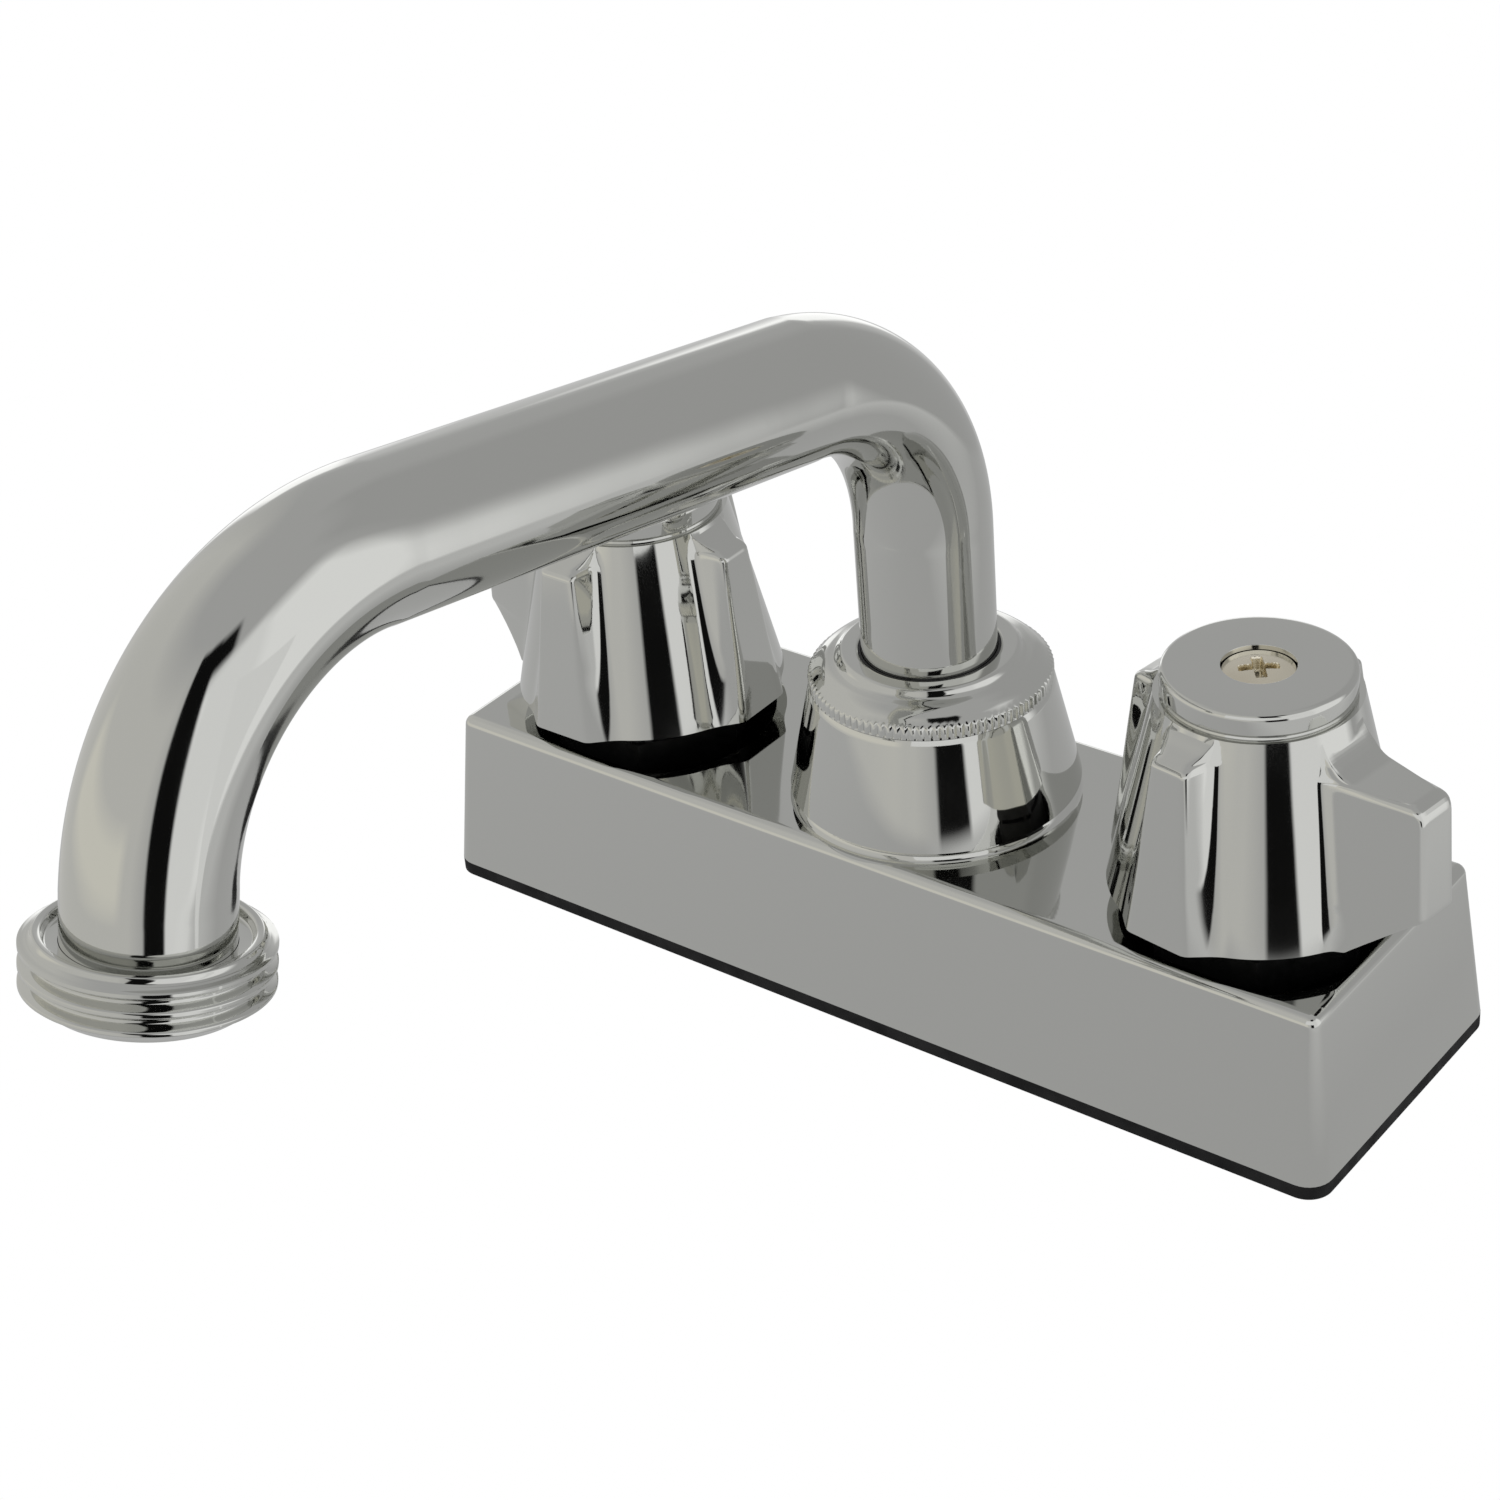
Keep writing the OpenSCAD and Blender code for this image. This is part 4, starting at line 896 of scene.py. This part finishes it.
def moulded(name, dark, light, low, high, grain, grain_depth, gloss=0.5):
    """A moulded skin: two near colours in clouds, and a fine grain in the bump."""
    material, shader_tree, shader, place = finish(name, dark, 0.0, low)
    shader.inputs["Specular IOR Level"].default_value = gloss
    two_colours(shader_tree, shader, clouds(shader_tree, place, 260, 0, 1, 5.0), dark, light)
    rough = clouds(shader_tree, place, 420, low, high, 3.0)
    shader_tree.links.new(rough, shader.inputs["Roughness"])
    waves(shader_tree, shader, clouds(shader_tree, place, grain, 0, 1, 3.0), grain_depth, 0.6)
    return material


# %% The finishes by name
slots = {
    "chrome_plate": chrome,
    "brass": bare_metal("brass", (0.76, 0.57, 0.26), (0.56, 0.38, 0.15),
                        0.18, 0.36, 0.000012),
    "nickel_plate": bare_metal("nickel", (0.86, 0.81, 0.68), (0.76, 0.70, 0.57),
                               0.1, 0.24, 0.000003),
    "black_rubber": moulded("rubber", (0.010, 0.010, 0.011), (0.024, 0.024, 0.025),
                            0.5, 0.72, 2600, 0.00003, 0.12),
    "black_nylon": moulded("nylon", (0.008, 0.008, 0.009), (0.016, 0.016, 0.017),
                           0.32, 0.5, 3600, 0.000015, 0.3),
    "ceramic": moulded("alumina", (0.80, 0.79, 0.75), (0.72, 0.70, 0.65),
                       0.14, 0.28, 3000, 0.000004),
}
# The inside of the castings: a dull, rough mould skin whose nearly black colour is painted shade,
# for the dark under the canopies and in the body's hollow.
raw_casting = moulded("raw_casting", (0.016, 0.016, 0.017), (0.034, 0.034, 0.035),
                      0.5, 0.75, 1500, 0.00006, 0.2)
print("finishes:", ", ".join(slots), "and raw_casting")

# %% Put the finishes on
made = {o.name: o for o in bpy.data.objects if o.name.endswith("_surface")}
for part in frame["record"]["subparts"]:
    finish_of_part = slots[part["material_slot"]]
    cad = frame["nodes"][part["node"]]
    for i in range(len(cad.material_slots)):
        cad.material_slots[i].material = finish_of_part
slot_of = {"bonnet": "black_nylon", "screw": "nickel_plate", "shank": "brass", "mounting": "brass"}
for name, piece in made.items():
    slot_name = next((slot_of[word] for word in slot_of if word in name), "chrome_plate")
    piece.data.materials.append(slots[slot_name])
# Every casting gets a second slot for its inside: painted shade, nearly black over a dull skin.
for casting in handles + [body]:
    casting.data.materials.append(raw_casting)
print(len(made), "surfaces dressed")

# %% The body's hollow: a dull cast skin, painted nearly black as painted shade
centres = np.array([f.center for f in body.data.polygons]) / MM
share = (centres[:, 2] - gasket_t) / (top_z - gasket_t)
inside = centres[:, 2] < top_z - wall * 0.6
for axis in (0, 1):
    outer = foot_half[axis] + (top_half[axis] - foot_half[axis]) * share
    inside &= np.abs(centres[:, axis]) < outer - wall * 0.7
# The hollow's faces take the second slot: a dull cast skin whose nearly black colour is painted
# shade.
body.data.polygons.foreach_set("material_index", inside.astype(np.int32))
print(int(inside.sum()), "faces of the body's hollow given painted shade")

# %% [markdown]
# ## The table and a reflector card
# The table is plain white in the photograph, yet the chrome shows it grey, because the exposure
# was set for the faucet. So the table is white for the camera, grey for every other ray, and open
# from below. It ends a little way out, so that the mirrors see the room beyond its edge. A pale
# card, out of the camera's sight, keeps the room's dark gap out of the flat tops.

# %% The table
floor_mesh = bpy.data.meshes.new("floor")
floor_half, floor_z = 3.0, -0.0004
floor_mesh.from_pydata([(x * floor_half, y * floor_half, floor_z)
                        for x, y in ((-1, -1), (1, -1), (1, 1), (-1, 1))], [], [(0, 1, 2, 3)])
floor = bpy.data.objects.new("floor", floor_mesh)
bpy.context.scene.collection.objects.link(floor)
floor_paint = bpy.data.materials.new("pale_table")
floor_paint.use_nodes = True
tree = floor_paint.node_tree
tree.nodes.clear()
place = node(tree, "ShaderNodeTexCoord").outputs["Object"]
along = node(tree, "ShaderNodeSeparateXYZ", {0: place}).outputs[0]
share = node(tree, "ShaderNodeMapRange", {"Value": along}, From_Min=-0.15, From_Max=0.15)
shade = node(tree, "ShaderNodeValToRGB", {0: share.outputs["Result"]})
stops = shade.color_ramp.elements
stops[0].position, stops[0].color = 0.1, grey(193)
stops[1].position, stops[1].color = 0.95, grey(208)
for position, value in ((0.5, 186), (0.78, 184)):
    stops.new(position).color = grey(value)
white = node(tree, "ShaderNodeEmission", Color=(1, 1, 1, 1), Strength=1.0)
dim = node(tree, "ShaderNodeEmission", {0: shade.outputs[0]}, Strength=1.0)
away = node(tree, "ShaderNodeBsdfTransparent")
distance = node(tree, "ShaderNodeVectorMath", {0: place}, operation="LENGTH").outputs["Value"]
edge = node(tree, "ShaderNodeMapRange", {"Value": distance}, From_Min=0.19, From_Max=0.22)
table = node(tree, "ShaderNodeMixShader",
             {0: edge.outputs["Result"], 1: dim.outputs[0], 2: away.outputs[0]})
to_camera = node(tree, "ShaderNodeLightPath").outputs["Is Camera Ray"]
above = node(tree, "ShaderNodeMixShader",
             {0: to_camera, 1: table.outputs[0], 2: white.outputs[0]})
from_below = node(tree, "ShaderNodeNewGeometry").outputs["Backfacing"]
choice = node(tree, "ShaderNodeMixShader",
              {0: from_below, 1: above.outputs[0], 2: away.outputs[0]})
node(tree, "ShaderNodeOutputMaterial", {0: choice.outputs[0]})
floor_mesh.materials.append(floor_paint)
print("table at", floor_z / MM, "mm")

# %% The reflector card
card_from, card_to, card_low, card_high = (0.040, -0.128), (0.215, -0.050), 0.048, 0.125
card_mesh = bpy.data.meshes.new("reflector_card")
card_mesh.from_pydata([(*card_from, card_low), (*card_to, card_low), (*card_to, card_high),
                       (*card_from, card_high)], [], [(0, 1, 2, 3)])
card = bpy.data.objects.new("reflector_card", card_mesh)
bpy.context.scene.collection.objects.link(card)
card_paint = bpy.data.materials.new("card_paper")
card_paint.use_nodes = True
card_paint.node_tree.nodes.clear()
glow = node(card_paint.node_tree, "ShaderNodeEmission", Color=grey(240), Strength=1.0)
node(card_paint.node_tree, "ShaderNodeOutputMaterial", {0: glow.outputs[0]})
card_mesh.materials.append(card_paint)
card.visible_camera = False
card.visible_diffuse = False
print("card from", card_low / MM, "to", card_high / MM, "mm high")
